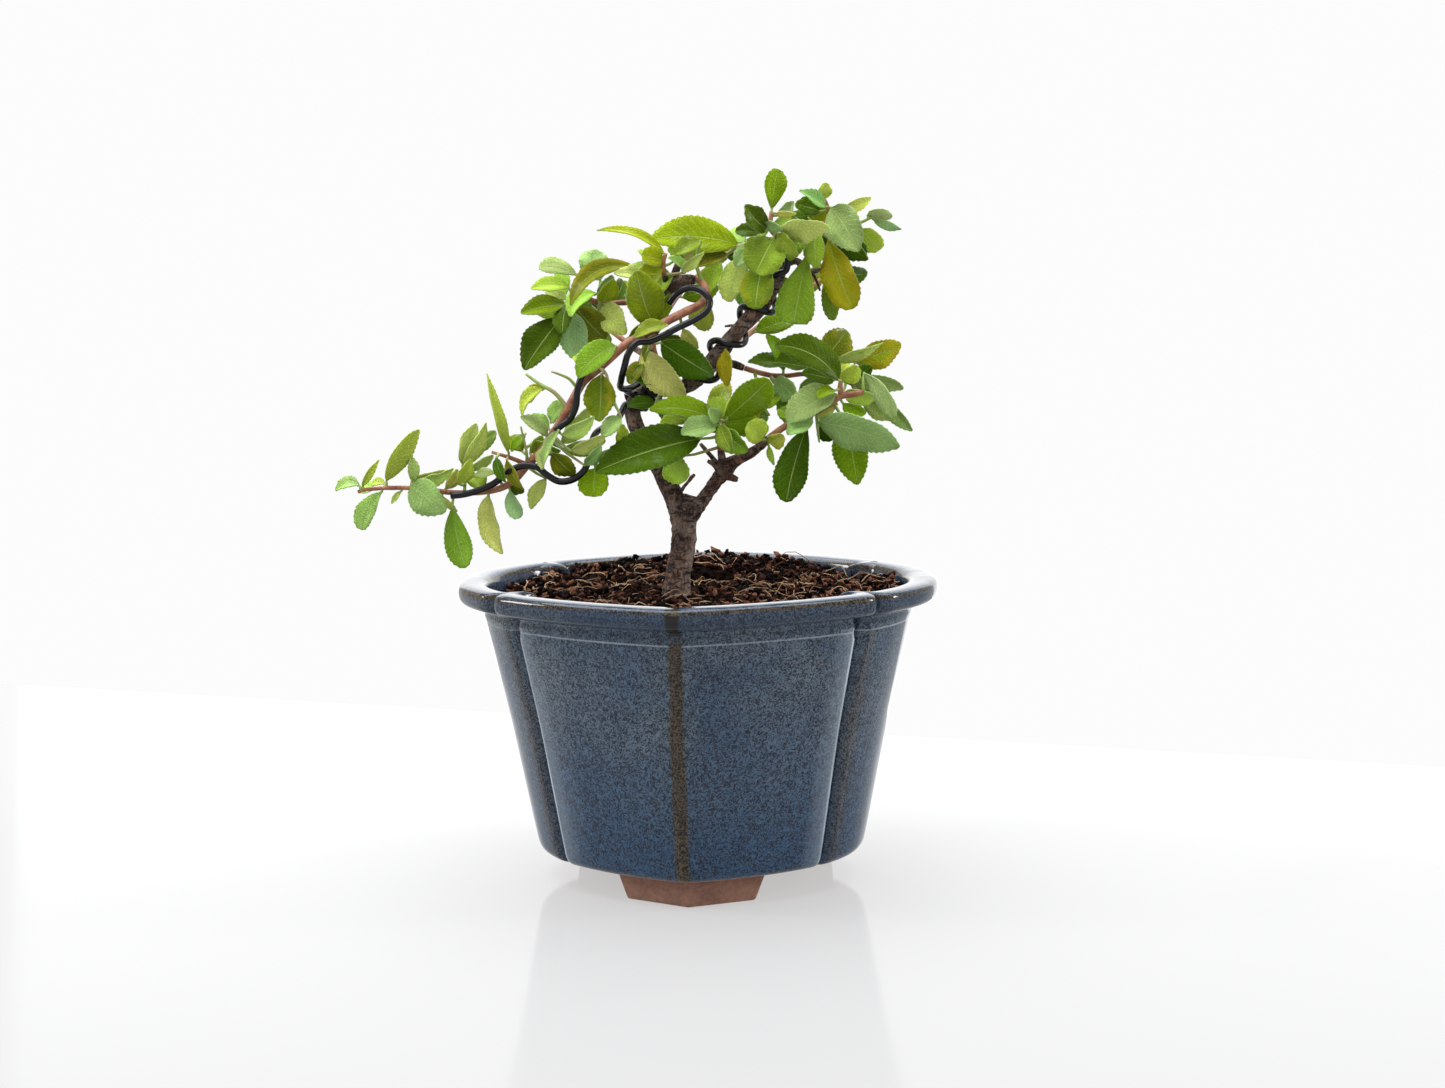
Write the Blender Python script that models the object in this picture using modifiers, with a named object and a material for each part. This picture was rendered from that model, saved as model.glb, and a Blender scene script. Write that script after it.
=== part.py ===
"""A firethorn bonsai in a four-lobed glazed pot, at its real size, in metres with +Z up.

The pot stands on its three feet with its lobes along X and Y. It holds the potting soil and, under it, the
drainage mesh. The tree grows out of a plain hole in the soil: one trunk with two limbs, leafy stems that
begin at flat-cut stubs, and four training wires wound round the wood. Points of the tree are written in
millimetres as they are seen from the front: across, up and how far back.
"""
import math
import random

import bmesh
import bpy
from mathutils import Matrix, Vector, noise

MM = 0.001
GAP = 0.3

# Pot: half sizes of the rim's plan, how far its middle lies behind the tree's, and heights, in millimetres.
# Heights are counted from a level a little above the ground; the finished tree is set down on its soles.
RIM_HALF_WIDTH = 81.2
RIM_HALF_DEPTH = 75.0
GROOVE_FRONT = (62.4, 41.9)
GROOVE_FLOOR = (61.2, 39.7)
GROOVE_SIDE = (64.4, 40.2)
FRONT_BULGE = 4.0
SIDE_BULGE = 4.6
POT_BACK = 4.0
SOLE_Z = -4.0
FLOOR_Z = 12.5
RIM_Z = 98.0
DRAIN_RADIUS = 9.0

# Outer side from the underside up to the rim: share of the rim's plan, and height.
POT_OUTSIDE = (
    (0.600, 5.0),
    (0.655, 5.4),
    (0.682, 7.2),
    (0.693, 10.5),
    (0.792, 52.0),
    (0.888, 85.0),
    (0.898, 86.6),
    (0.935, 87.6),
    (0.975, 89.0),
    (0.996, 91.2),
    (1.000, 93.6),
    (0.992, 96.2),
    (0.968, 97.7),
    (0.940, RIM_Z),
)
# Inner side from the rim down to the floor.
POT_INSIDE = (
    (0.898, RIM_Z),
    (0.880, 97.3),
    (0.868, 95.2),
    (0.846, 87.0),
    (0.738, 50.0),
    (0.642, 16.0),
    (0.610, FLOOR_Z),
)

# Feet: half length along the wall at the top and the sole, reach of the outer face, and slope of the plan.
FRONT_FOOT = (25.0, 21.0, 44.6, 0.454)
REAR_FOOT = (15.0, 12.0, 47.0, 0.22)
FOOT_DEPTH = 10.0
FOOT_TURN = math.radians(120.0)
FOOT_TOP_Z = 6.4
FOOT_ROUNDING = 0.8

MESH_SIDE = 44.0
MESH_THICK = 1.2
MESH_CELLS = 7

# Soil: its level at the front, its rise or fall towards the other sides, and a hollow by the trunk.
SOIL_RINGS = 7
SOIL_EDGE_Z = 87.5
SOIL_FRONT_Z = 92.6
SOIL_BACK_RISE = 5.2
SOIL_LEFT_FALL = 3.4
SOIL_RIGHT_RISE = 1.6
SOIL_LUMP = 1.5
HOLLOW_SPOT = Vector((6.0, -2.0))
HOLLOW_DEPTH = 3.0
HOLLOW_SPREAD = 9.0

# The tree stands turned in its pot, and is measured along rays from the eye that sees it from the front.
EYE = Vector((9.1, -700.0, 194.7))
TREE_TURN = math.radians(5.3)

TRUNK_HOLE_RADIUS = 5.6
TRUNK_FOOT_Z = 69.4

BLADE_THICK = 0.66
BLADE_FOLD = 0.24
TIP_HALF = 0.25
LEAF_ROW_LENGTHS = (10.0, 18.0)
FLAT_LEAF_LENGTH = 15.0
PETIOLE_WIDTH = 1.25
WIRE_RADIUS = 1.0
STEM_STEP = 5.0
WIRE_STEP = 3.0
WIRE_CLEARANCE = 0.35
THIN_TWIG = 0.85

# Leaf outlines: where the blade is widest along its length, and how full its ends are.
OUTLINES = {
    "lance": (0.46, 1.25),
    "oval": (0.52, 0.85),
    "spoon": (0.64, 0.80),
    "round": (0.52, 0.58),
    "torn": (0.80, 0.62),
}


def clear_scene():
    """Start from an empty scene."""
    for item in list(bpy.data.objects):
        bpy.data.objects.remove(item, do_unlink=True)


def new_collection(name):
    """A collection linked to the scene."""
    collection = bpy.data.collections.new(name)
    bpy.context.scene.collection.children.link(collection)
    return collection


def new_material(name, colour, roughness, metallic=0.0):
    """A plain Principled material."""
    material = bpy.data.materials.new(name)
    material.use_nodes = True
    shader = material.node_tree.nodes["Principled BSDF"]
    shader.inputs["Base Color"].default_value = (*colour, 1.0)
    shader.inputs["Roughness"].default_value = roughness
    shader.inputs["Metallic"].default_value = metallic
    return material


def add_mesh_object(name, bm, collection, material=None):
    """Turn a bmesh in millimetres into a named object in metres."""
    bmesh.ops.scale(bm, vec=(MM, MM, MM), verts=bm.verts)
    bmesh.ops.recalc_face_normals(bm, faces=bm.faces)
    mesh = bpy.data.meshes.new(name)
    bm.to_mesh(mesh)
    bm.free()
    item = bpy.data.objects.new(name, mesh)
    if material:
        mesh.materials.append(material)
    collection.objects.link(item)
    return item


def loft(bm, rings, closed_ends=True):
    """Skin rings of points that run round in the same order, and cap both ends."""
    rows = [[bm.verts.new(point) for point in ring] for ring in rings]
    count = len(rows[0])
    for lower, upper in zip(rows, rows[1:]):
        for index in range(count):
            following = (index + 1) % count
            bm.faces.new((lower[index], lower[following], upper[following], upper[index]))
    if closed_ends:
        bm.faces.new(list(reversed(rows[0])))
        bm.faces.new(rows[-1])


def cut_with(target, cutter, operation="DIFFERENCE"):
    """Apply a Boolean of one object on another."""
    modifier = target.modifiers.new(operation.title(), "BOOLEAN")
    modifier.operation = operation
    modifier.object = cutter
    apply_modifiers(target)


def apply_modifiers(item):
    """Bake an object's modifiers into its mesh."""
    evaluated = item.evaluated_get(bpy.context.evaluated_depsgraph_get())
    mesh = bpy.data.meshes.new_from_object(evaluated)
    item.modifiers.clear()
    item.data = mesh


def join_all(target, pieces, solver="EXACT"):
    """Fuse every object of a collection into the target and drop the loose pieces."""
    modifier = target.modifiers.new("Grown together", "BOOLEAN")
    modifier.operation = "UNION"
    modifier.solver = solver
    modifier.operand_type = "COLLECTION"
    modifier.collection = pieces
    apply_modifiers(target)
    for piece in list(pieces.objects):
        bpy.data.objects.remove(piece, do_unlink=True)
    bpy.data.collections.remove(pieces)


# Pot

def bowed(start, end, bulge, count):
    """Points from start towards end on a panel that bulges outwards; the end itself is left out."""
    start = Vector(start)
    end = Vector(end)
    outward = Vector((end.y - start.y, start.x - end.x)).normalized()
    if outward.dot(start + end) < 0.0:
        outward.negate()
    points = []
    for index in range(count):
        share = index / count
        points.append(start.lerp(end, share) + outward * 4.0 * bulge * share * (1.0 - share))
    return points


def rim_plan():
    """The rim's outline once round, anticlockwise from the right-hand lobe's ridge."""
    quarter = bowed((RIM_HALF_WIDTH, 0.0), GROOVE_SIDE, SIDE_BULGE, 3)
    quarter += [Vector(GROOVE_SIDE), Vector(GROOVE_FLOOR)]
    quarter += bowed(GROOVE_FRONT, (0.0, RIM_HALF_DEPTH), FRONT_BULGE, 4)
    top = Vector((0.0, RIM_HALF_DEPTH))
    right = quarter[0]
    left_half = [Vector((-point.x, point.y)) for point in reversed(quarter[1:])]
    upper = quarter + [top] + left_half + [Vector((-right.x, 0.0))]
    lower = [Vector((point.x, -point.y)) for point in reversed(upper[1:-1])]
    return upper + lower


def plan_ring(share, height):
    """The rim's outline at a share of its size, at a height."""
    return [Vector((point.x * share, point.y * share + POT_BACK, height)) for point in rim_plan()]


def inside_share(height):
    """Share of the rim's plan that the pot's inner wall has at a height."""
    for (upper_share, upper_z), (lower_share, lower_z) in zip(POT_INSIDE[1:], POT_INSIDE[2:]):
        if height >= lower_z:
            part = (height - lower_z) / (upper_z - lower_z)
            return lower_share + (upper_share - lower_share) * part
    return POT_INSIDE[-1][0]


def foot_plan(half_length, outer, slope):
    """A bracket foot's outline on the front side of the pot, bent back from its middle."""
    inner = outer - FOOT_DEPTH
    drop = slope * half_length
    return [
        Vector((half_length, drop - outer)),
        Vector((0.0, -outer)),
        Vector((-half_length, drop - outer)),
        Vector((-half_length, drop - inner)),
        Vector((0.0, -inner)),
        Vector((half_length, drop - inner)),
    ]


def add_foot(name, collection, angle, top_half, sole_half, outer, slope):
    """One foot, turned round the pot's axis from the front."""
    bm = bmesh.new()
    rings = []
    for half_length, height in ((sole_half, SOLE_Z), (top_half, FOOT_TOP_Z)):
        plan = foot_plan(half_length, outer, slope)
        rings.append([Vector((point.x, point.y, height)) for point in plan])
    loft(bm, rings)
    upright = [edge for edge in bm.edges if abs(edge.verts[0].co.z - edge.verts[1].co.z) > FOOT_ROUNDING]
    bmesh.ops.bevel(
        bm, geom=upright, offset=FOOT_ROUNDING, segments=1, affect="EDGES", profile=0.5, material=-1,
    )
    bmesh.ops.rotate(bm, cent=(0.0, 0.0, 0.0), matrix=Matrix.Rotation(angle, 3, "Z"), verts=bm.verts)
    bmesh.ops.translate(bm, vec=(0.0, POT_BACK, 0.0), verts=bm.verts)
    return add_mesh_object(name, bm, collection)


def make_pot(collection, cutters, material):
    """The fired pot: lobed wall with its rolled lip, floor with the drainage hole, three feet."""
    bm = bmesh.new()
    loft(bm, [plan_ring(share, height) for share, height in POT_OUTSIDE + POT_INSIDE])
    pot = add_mesh_object("pot", bm, collection, material)
    feet = new_collection("feet")
    add_foot("front_foot", feet, 0.0, *FRONT_FOOT)
    add_foot("right_foot", feet, FOOT_TURN, *REAR_FOOT)
    add_foot("left_foot", feet, -FOOT_TURN, *REAR_FOOT)
    join_all(pot, feet)
    drill = bmesh.new()
    bmesh.ops.create_cone(
        drill, cap_ends=True, segments=24, radius1=DRAIN_RADIUS, radius2=DRAIN_RADIUS,
        depth=FLOOR_Z * 2.0, matrix=Matrix.Translation((0.0, POT_BACK, FLOOR_Z / 2.0)),
    )
    cutter = add_mesh_object("drain_hole_cutter", drill, cutters)
    cutter.hide_render = True
    cutter.display_type = "WIRE"
    cut_with(pot, cutter)
    return pot


# Drainage mesh

def make_drain_mesh(collection, material):
    """A square of plastic mesh lying over the drainage hole."""
    bm = bmesh.new()
    bmesh.ops.create_grid(bm, x_segments=MESH_CELLS, y_segments=MESH_CELLS, size=MESH_SIDE / 2.0)
    cell = MESH_SIDE / MESH_CELLS
    holes = []
    for face in bm.faces:
        centre = face.calc_center_median()
        column = int((centre.x + MESH_SIDE / 2.0) / cell)
        row = int((centre.y + MESH_SIDE / 2.0) / cell)
        if column % 2 and row % 2:
            holes.append(face)
    bmesh.ops.delete(bm, geom=holes, context="FACES")
    bmesh.ops.translate(bm, vec=(0.0, POT_BACK, FLOOR_Z + GAP), verts=bm.verts)
    mesh = add_mesh_object("drain_mesh", bm, collection, material)
    shell = mesh.modifiers.new("Thickness", "SOLIDIFY")
    shell.thickness = MESH_THICK * MM
    shell.offset = 1.0
    return mesh


# Soil

def soil_height(x, y):
    """The soil's surface: heaped at the back and right, low in the left lobe, with crumbs as lumps."""
    back = max(0.0, y) / RIM_HALF_DEPTH
    right = x / RIM_HALF_WIDTH
    slope = SOIL_RIGHT_RISE if right > 0.0 else -SOIL_LEFT_FALL
    height = SOIL_FRONT_Z + SOIL_BACK_RISE * back + slope * right * right
    hollow = (Vector((x, y)) - HOLLOW_SPOT).length
    height -= HOLLOW_DEPTH * math.exp(-(hollow / HOLLOW_SPREAD) ** 2)
    crumbs = noise.noise(Vector((x, y, 0.0)) * 0.11) + 0.6 * noise.noise(Vector((x, y, 7.0)) * 0.26)
    return height + SOIL_LUMP * crumbs


def make_soil(collection, material, hole_centre):
    """The soil block: it fills the pot, has a lumpy top and a plain hole for the trunk."""
    shrink = 1.0 - GAP / RIM_HALF_DEPTH * 1.5
    floor_z = FLOOR_Z + 2.0 * GAP + MESH_THICK
    levels = [floor_z, 16.0, 50.0, SOIL_EDGE_Z]
    rings = [plan_ring(inside_share(height) * shrink, height) for height in levels]
    edge = rings[-1]
    hole = []
    for point in edge:
        direction = Vector((point.x - hole_centre.x, point.y - hole_centre.y)).normalized()
        hole.append(Vector((*hole_centre.xy, 0.0)) + Vector((*(direction * TRUNK_HOLE_RADIUS), 0.0)))
    for index in range(1, SOIL_RINGS + 1):
        share = index / SOIL_RINGS
        ring = []
        for outer, inner in zip(edge, hole):
            spot = outer.lerp(inner, share ** 0.9)
            rise = min(1.0, share * SOIL_RINGS / 2.0)
            top = soil_height(spot.x, spot.y)
            ring.append(Vector((spot.x, spot.y, SOIL_EDGE_Z + (top - SOIL_EDGE_Z) * rise)))
        rings.append(ring)
    foot_z = TRUNK_FOOT_Z - GAP
    rings.append([Vector((point.x, point.y, foot_z)) for point in hole])
    bm = bmesh.new()
    loft(bm, rings)
    return add_mesh_object("soil", bm, collection, material)


# Tree: points, stems, blades and wires

def from_front(across, up, back):
    """A point seen at (across, up) on the plane through the pot's axis, slid along its ray to a depth."""
    share = (back - EYE.y) / -EYE.y
    seen = Vector((across, 0.0, up))
    point = EYE + (seen - EYE) * share
    return Matrix.Rotation(TREE_TURN, 3, "Z") @ point


def catmull(points, values, step):
    """A smooth run through points, with values carried along, sampled about every step."""
    out_points = []
    out_values = []
    last = len(points) - 1
    for index in range(last):
        before = points[max(index - 1, 0)]
        start = points[index]
        end = points[index + 1]
        after = points[min(index + 2, last)]
        count = max(1, round((end - start).length / step))
        for number in range(count):
            t = number / count
            lead = (end - before) * 0.5
            trail = (after - start) * 0.5
            point = (
                start * (2.0 * t ** 3 - 3.0 * t ** 2 + 1.0)
                + lead * (t ** 3 - 2.0 * t ** 2 + t)
                + end * (-2.0 * t ** 3 + 3.0 * t ** 2)
                + trail * (t ** 3 - t ** 2)
            )
            out_points.append(point)
            out_values.append(values[index] + (values[index + 1] - values[index]) * t)
    out_points.append(points[last].copy())
    out_values.append(values[last])
    return out_points, out_values


def stem_path(stations, step=STEM_STEP):
    """Points and radii of a stem given by its stations (across, up, back, radius)."""
    points = [from_front(*station[:3]) for station in stations]
    radii = [station[3] for station in stations]
    return catmull(points, radii, step)


def add_tube(name, collection, points, radii, sides):
    """A closed tube along points, made from a curve and turned into a welded mesh."""
    curve = bpy.data.curves.new(name, "CURVE")
    curve.dimensions = "3D"
    curve.bevel_depth = MM
    curve.bevel_resolution = max(0, (sides - 4) // 2)
    curve.use_fill_caps = True
    spline = curve.splines.new("POLY")
    spline.points.add(len(points) - 1)
    for spot, point, radius in zip(spline.points, points, radii):
        spot.co = (*(point * MM), 1.0)
        spot.radius = radius
    item = bpy.data.objects.new(name + "_curve", curve)
    collection.objects.link(item)
    bpy.context.view_layer.update()
    evaluated = item.evaluated_get(bpy.context.evaluated_depsgraph_get())
    mesh = bpy.data.meshes.new_from_object(evaluated)
    bm = bmesh.new()
    bm.from_mesh(mesh)
    bmesh.ops.remove_doubles(bm, verts=bm.verts, dist=0.00001)
    bmesh.ops.recalc_face_normals(bm, faces=bm.faces)
    bm.to_mesh(mesh)
    bm.free()
    tube = bpy.data.objects.new(name, mesh)
    tube.matrix_world = item.matrix_world
    bpy.data.objects.remove(item, do_unlink=True)
    collection.objects.link(tube)
    return tube


def nearest_on(paths, point):
    """The spot on a set of stem paths that lies nearest to a point."""
    best = None
    for points in paths:
        for start, end in zip(points, points[1:]):
            run = end - start
            share = max(0.02, min(0.98, (point - start).dot(run) / run.length_squared))
            spot = start + run * share
            if best is None or (spot - point).length < (best - point).length:
                best = spot
    return best


def outline_width(kind, share):
    """Half width of a leaf at a share of its length, as a part of its greatest half width."""
    widest, power = OUTLINES[kind]
    warped = share ** (math.log(0.5) / math.log(widest))
    return math.sin(math.pi * warped) ** power


def add_leaf(name, collection, paths, leaf):
    """One leaf: a flat stalk sunk into its stem, and an arched, folded blade with a waved edge."""
    base = from_front(*leaf[0:3])
    tip = from_front(*leaf[3:6])
    width, turn, arch, bend, kind = leaf[6:11]
    root = nearest_on(paths, base)
    along = (tip - base).normalized()
    towards_eye = (EYE - base).normalized()
    facing = (towards_eye - along * towards_eye.dot(along)).normalized()
    facing.rotate(Matrix.Rotation(math.radians(turn), 3, along))
    side = along.cross(facing)
    rows = 2 + sum((tip - base).length > limit for limit in LEAF_ROW_LENGTHS)
    lift = facing * arch + side * bend
    stalk_half = PETIOLE_WIDTH / 2.0
    stations = [(root, along, stalk_half)]
    if (base - root).length > PETIOLE_WIDTH:
        stations = [(root, (base - root).normalized(), stalk_half), (base, along, stalk_half)]
    for row in range(1, rows + 1):
        share = row / rows
        spine = base.lerp(tip, share) + lift * 4.0 * share * (1.0 - share)
        tooth = 1.04 if row % 2 else 0.96
        half = max(width / 2.0 * outline_width(kind, share) * tooth, stalk_half)
        heading = (along + lift * 4.0 * (1.0 - 2.0 * share) / (tip - base).length).normalized()
        stations.append((spine, heading, half if row < rows else TIP_HALF))
    folded = (tip - base).length > FLAT_LEAF_LENGTH
    rings = []
    for spine, heading, half in stations:
        across = (side - heading * side.dot(heading)).normalized()
        up = across.cross(heading)
        fold = up * half * BLADE_FOLD
        half_thick = up * BLADE_THICK / 2.0
        edges = [spine - across * half + fold, spine + across * half + fold]
        if folded:
            edges.insert(1, spine)
        ring = [edge + half_thick for edge in edges]
        ring += [edge - half_thick for edge in reversed(edges)]
        rings.append(ring)
    bm = bmesh.new()
    loft(bm, rings)
    bmesh.ops.triangulate(bm, faces=bm.faces)
    return add_mesh_object(name, bm, collection)


def make_spray(name, collection, material, stems, leaves, sides=6):
    """A leafy stem: its stems and leaves fused into one solid."""
    pieces = new_collection(name + "_pieces")
    paths = []
    tubes = []
    for index, stations in enumerate(stems):
        points, radii = stem_path(stations)
        paths.append(points)
        owner = collection if index == 0 else pieces
        label = name if index == 0 else f"{name}_stem_{index}"
        thin = max(radii) < THIN_TWIG
        tubes.append(add_tube(label, owner, points, radii, 4 if thin else sides))
    for index, leaf in enumerate(leaves):
        add_leaf(f"{name}_leaf_{index}", pieces, paths, leaf)
    spray = tubes[0]
    join_all(spray, pieces, "MANIFOLD")
    spray.data.materials.clear()
    spray.data.materials.append(material)
    return spray


def path_frames(points):
    """Two directions across the path at each point, carried along without twisting."""
    tangents = []
    for index in range(len(points)):
        before = points[max(index - 1, 0)]
        after = points[min(index + 1, len(points) - 1)]
        tangents.append((after - before).normalized())
    towards_eye = Vector((0.0, -1.0, 0.0))
    first = (towards_eye - tangents[0] * towards_eye.dot(tangents[0])).normalized()
    frames = []
    for tangent in tangents:
        first = (first - tangent * first.dot(tangent)).normalized()
        frames.append((first, tangent.cross(first)))
    return frames


def wound(stations, start, end, turns, phase, per_turn=9):
    """A wire's turns round a stem between two shares of the stem's length."""
    points, radii = stem_path(stations, 0.8)
    frames = path_frames(points)
    last = len(points) - 1
    count = max(2, round(abs(turns) * per_turn) + 1)
    out = []
    for index in range(count + 1):
        share = start + (end - start) * index / count
        spot = min(last, max(0, round(share * last)))
        angle = math.radians(phase) + 2.0 * math.pi * turns * index / count
        front, side = frames[spot]
        reach = radii[spot] + GAP + WIRE_CLEARANCE + WIRE_RADIUS
        out.append(points[spot] + (front * math.cos(angle) + side * math.sin(angle)) * reach)
    return out


def make_wire(name, collection, material, points):
    """One training wire along points."""
    route, _ = catmull(points, [WIRE_RADIUS] * len(points), WIRE_STEP)
    wire = add_tube(name, collection, route, [WIRE_RADIUS] * len(route), 6)
    wire.data.materials.clear()
    wire.data.materials.append(material)
    return wire


# Stems, as seen from the front in millimetres: across, up, back, radius.

TRUNK = (
    (-7.6, 67.5, -11, 3.7),
    (-7.3, 80, -11, 4.0),
    (-6.9, 91, -10.5, 4.5),
    (-6.2, 98, -10, 4.2),
    (-5.1, 104, -9, 4.0),
    (-4.0, 110, -8, 4.2),
    (-3.6, 117, -7, 4.0),
    (-3.0, 122.5, -6, 3.7),
)
LEFT_LIMB = (
    (-4.4, 116, -7, 3.2),
    (-6.3, 124, -6, 3.4),
    (-8.9, 130, -4.5, 3.2),
    (-12.2, 136.5, -3, 2.9),
    (-16, 143.5, -1, 2.8),
    (-19.3, 150, 1, 2.7),
    (-20.2, 155.5, 3, 2.6),
    (-17.6, 159.8, 4, 2.6),
    (-12, 161.5, 4, 2.5),
    (-6, 161.8, 3, 2.5),
    (-1, 163.2, 2, 2.6),
    (3.5, 167, 1, 2.8),
    (7.8, 171.8, 0, 3.0),
    (12, 177, 0, 2.6),
    (16.5, 182, 0, 2.5),
    (20.5, 186, 0, 2.8),
    (24, 188.9, 0.5, 2.1),
    (27, 193, 1, 1.5),
    (29.5, 198, 1, 1.4),
    (30.9, 203, 1, 1.35),
    (30.2, 207, 0, 1.2),
    (29.6, 209.3, -0.5, 1.1),
)
CROWN_LIMB = (
    (-17.6, 146.6, 0.2, 2.2),
    (-19.2, 150.6, 6.2, 2.1),
    (-19.6, 155.6, 11.2, 2.0),
    (-18.6, 162, 14, 2.0),
    (-16, 171, 14.5, 2.0),
    (-13, 180.5, 12, 2.0),
    (-10.5, 187.5, 8, 2.1),
    (-8, 193.2, 4.5, 2.6),
    (-4, 196.4, 2.5, 2.7),
    (-1, 197.6, 1.2, 1.9),
    (1.2, 197.6, 0.6, 1.5),
)
RIGHT_LIMB = (
    (-2.6, 117.5, -6.5, 2.6),
    (1, 122, -6, 2.4),
    (4.6, 127, -5.5, 2.1),
    (7.5, 131, -5, 2.3),
    (10.2, 134, -5, 2.9),
    (12.4, 136.6, -5, 2.4),
    (15.8, 138.4, -5.5, 1.8),
    (19, 140, -6, 1.7),
    (21.8, 141.9, -6.4, 1.35),
)
WOOD_STUBS = (
    ((-6.5, 195.5, 3.5, 1.8), (-4.8, 201, 3.2, 1.3), (-3.2, 205.4, 3, 1.1)),
    ((-10.5, 188, 7.5, 1.5), (-15, 190.2, 8.5, 1.25), (-19.8, 190.6, 8.2, 1.1)),
    ((-8.2, 195, 3.5, 1.6), (-8.4, 197.6, 1, 1.1), (-8.6, 199.2, -0.5, 0.95)),
    ((8.5, 171, 0, 1.7), (13, 169.8, 1.2, 1.2), (17, 168.4, 2, 1.0)),
    ((31, 203, 1, 1.2), (33.4, 205.7, 2, 1.1), (35.3, 207.7, 2.6, 1.0)),
    ((31, 202, 1, 1.2), (35, 203.3, 3, 1.1), (37.5, 200.6, 4, 1.2), (39.4, 199.6, 4.5, 1.2),
     (43, 200.6, 5, 0.6)),
    ((39, 200, 4.5, 0.8), (40.8, 198.2, 4.2, 0.5), (42.6, 193.4, 4, 0.32)),
    ((10.6, 132.6, -6, 1.7), (12.6, 131.8, -6.6, 1.3), (14.6, 131.2, -7, 0.9)),
    ((8.4, 135, -5, 1.3), (5.8, 139, -5.5, 0.75), (2.2, 143.3, -6, 0.5)),
    ((8.2, 134.4, -5.5, 1.2), (6.6, 136.2, -6, 0.9), (4.6, 137.6, -6.5, 0.6)),
    ((9.8, 135, -6, 1.7), (9.3, 138.6, -8, 1.35), (9.0, 141, -9, 1.2)),
    ((-5.5, 126, -8, 0.8), (-3, 129.6, -9.5, 0.5), (0, 133, -10.5, 0.35)),
    ((-16.2, 143.5, -2, 1.1), (-18.6, 143.6, -4.6, 0.9), (-20, 143.4, -6, 0.8)),
    ((-10.5, 161.4, 2.5, 1.2), (-9.8, 162, -0.5, 1.0), (-9.6, 162.6, -2, 0.95)),
    ((17.5, 182, -1.5, 0.7), (14, 182.5, -4, 0.4), (11, 182.2, -5, 0.3)),
    ((12.2, 137.6, -6.5, 0.7), (13.6, 138.2, -8.6, 0.5), (14.6, 136.4, -9.4, 0.35)),
    ((-15.4, 173, 14.2, 1.3), (-18, 174.6, 17, 1.1), (-20.4, 176.2, 18.6, 1.0)),
    ((-12, 183.5, 10.6, 1.2), (-9.5, 186, 13.8, 1.1), (-7.6, 188.2, 15.5, 1.0)),
    ((9.9, 174.3, 0.5, 1.5), (12.4, 175.6, 5, 1.2), (14.4, 176.4, 7.5, 1.0)),
    ((-14, 140, -1.5, 1.6), (-12.4, 142, 4, 1.2), (-10.6, 144, 7.5, 1.0)),
)
LIMB_LEAVES = (
    (11.2, 174.6, -4.2, 11.6, 162.4, -5.5, 6.0, 25, 0.6, 0.0, "oval"),
)

CASCADE_STEMS = (
    (
        (1.9, 197.6, 0.3, 1.3), (3.4, 197.2, -0.6, 1.35), (5.1, 192.6, -4.6, 1.35), (2.6, 189.4, -8, 1.35),
        (-2, 187.2, -10, 1.4), (-7, 184.8, -12, 1.4), (-12, 182, -13.5, 1.4), (-17, 179.5, -14.5, 1.4),
        (-22.5, 176.3, -15.5, 1.4), (-27, 172.5, -16, 1.4), (-31.5, 168.6, -16, 1.4),
        (-36.3, 164.6, -15.5, 1.4), (-39.5, 159.5, -15, 1.45), (-42, 155, -14.5, 1.5),
        (-44.6, 150.6, -14, 1.5), (-48.2, 145.6, -13.5, 1.35), (-51.5, 141, -13, 1.35),
        (-55.5, 137.5, -12.5, 1.4), (-59, 133.4, -12, 1.4), (-63, 130.2, -11.5, 1.15),
        (-69, 128.4, -11, 1.0), (-76, 128, -10.5, 0.95), (-82, 128.2, -10, 0.9), (-90, 129.5, -9.5, 0.85),
        (-97, 130, -9, 0.8), (-104, 130, -8.5, 0.7), (-110, 129.6, -8, 0.65), (-112.6, 128.8, -8, 0.6),
    ),
    ((-42, 156, -14.5, 0.8), (-46, 161, -14, 0.7), (-51, 164, -13.5, 0.6), (-55.5, 167.4, -13, 0.4)),
    ((-38.2, 162, -15.2, 0.6), (-41, 165.5, -16, 0.5), (-44.5, 167.2, -17, 0.4), (-47, 168.1, -17.5, 0.3)),
    ((-30.8, 169, -16.5, 0.7), (-28.6, 166.6, -18.8, 0.5), (-27.3, 160.2, -19.5, 0.3)),
    ((-56, 137.3, -12.5, 0.9), (-61.5, 139.6, -12.3, 0.7), (-67.5, 141.6, -12, 0.5)),
    ((-77, 128.2, -10.5, 0.6), (-76.4, 134, -9.2, 0.55), (-75.2, 141, -8, 0.45)),
    ((-55.8, 138, -13, 0.6), (-56, 142, -14.2, 0.45), (-57.6, 150, -15.4, 0.3)),
    ((3.8, 197, -1, 0.8), (1.8, 203, -3, 0.6), (3.3, 210.4, -4.4, 0.5)),
)
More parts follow.
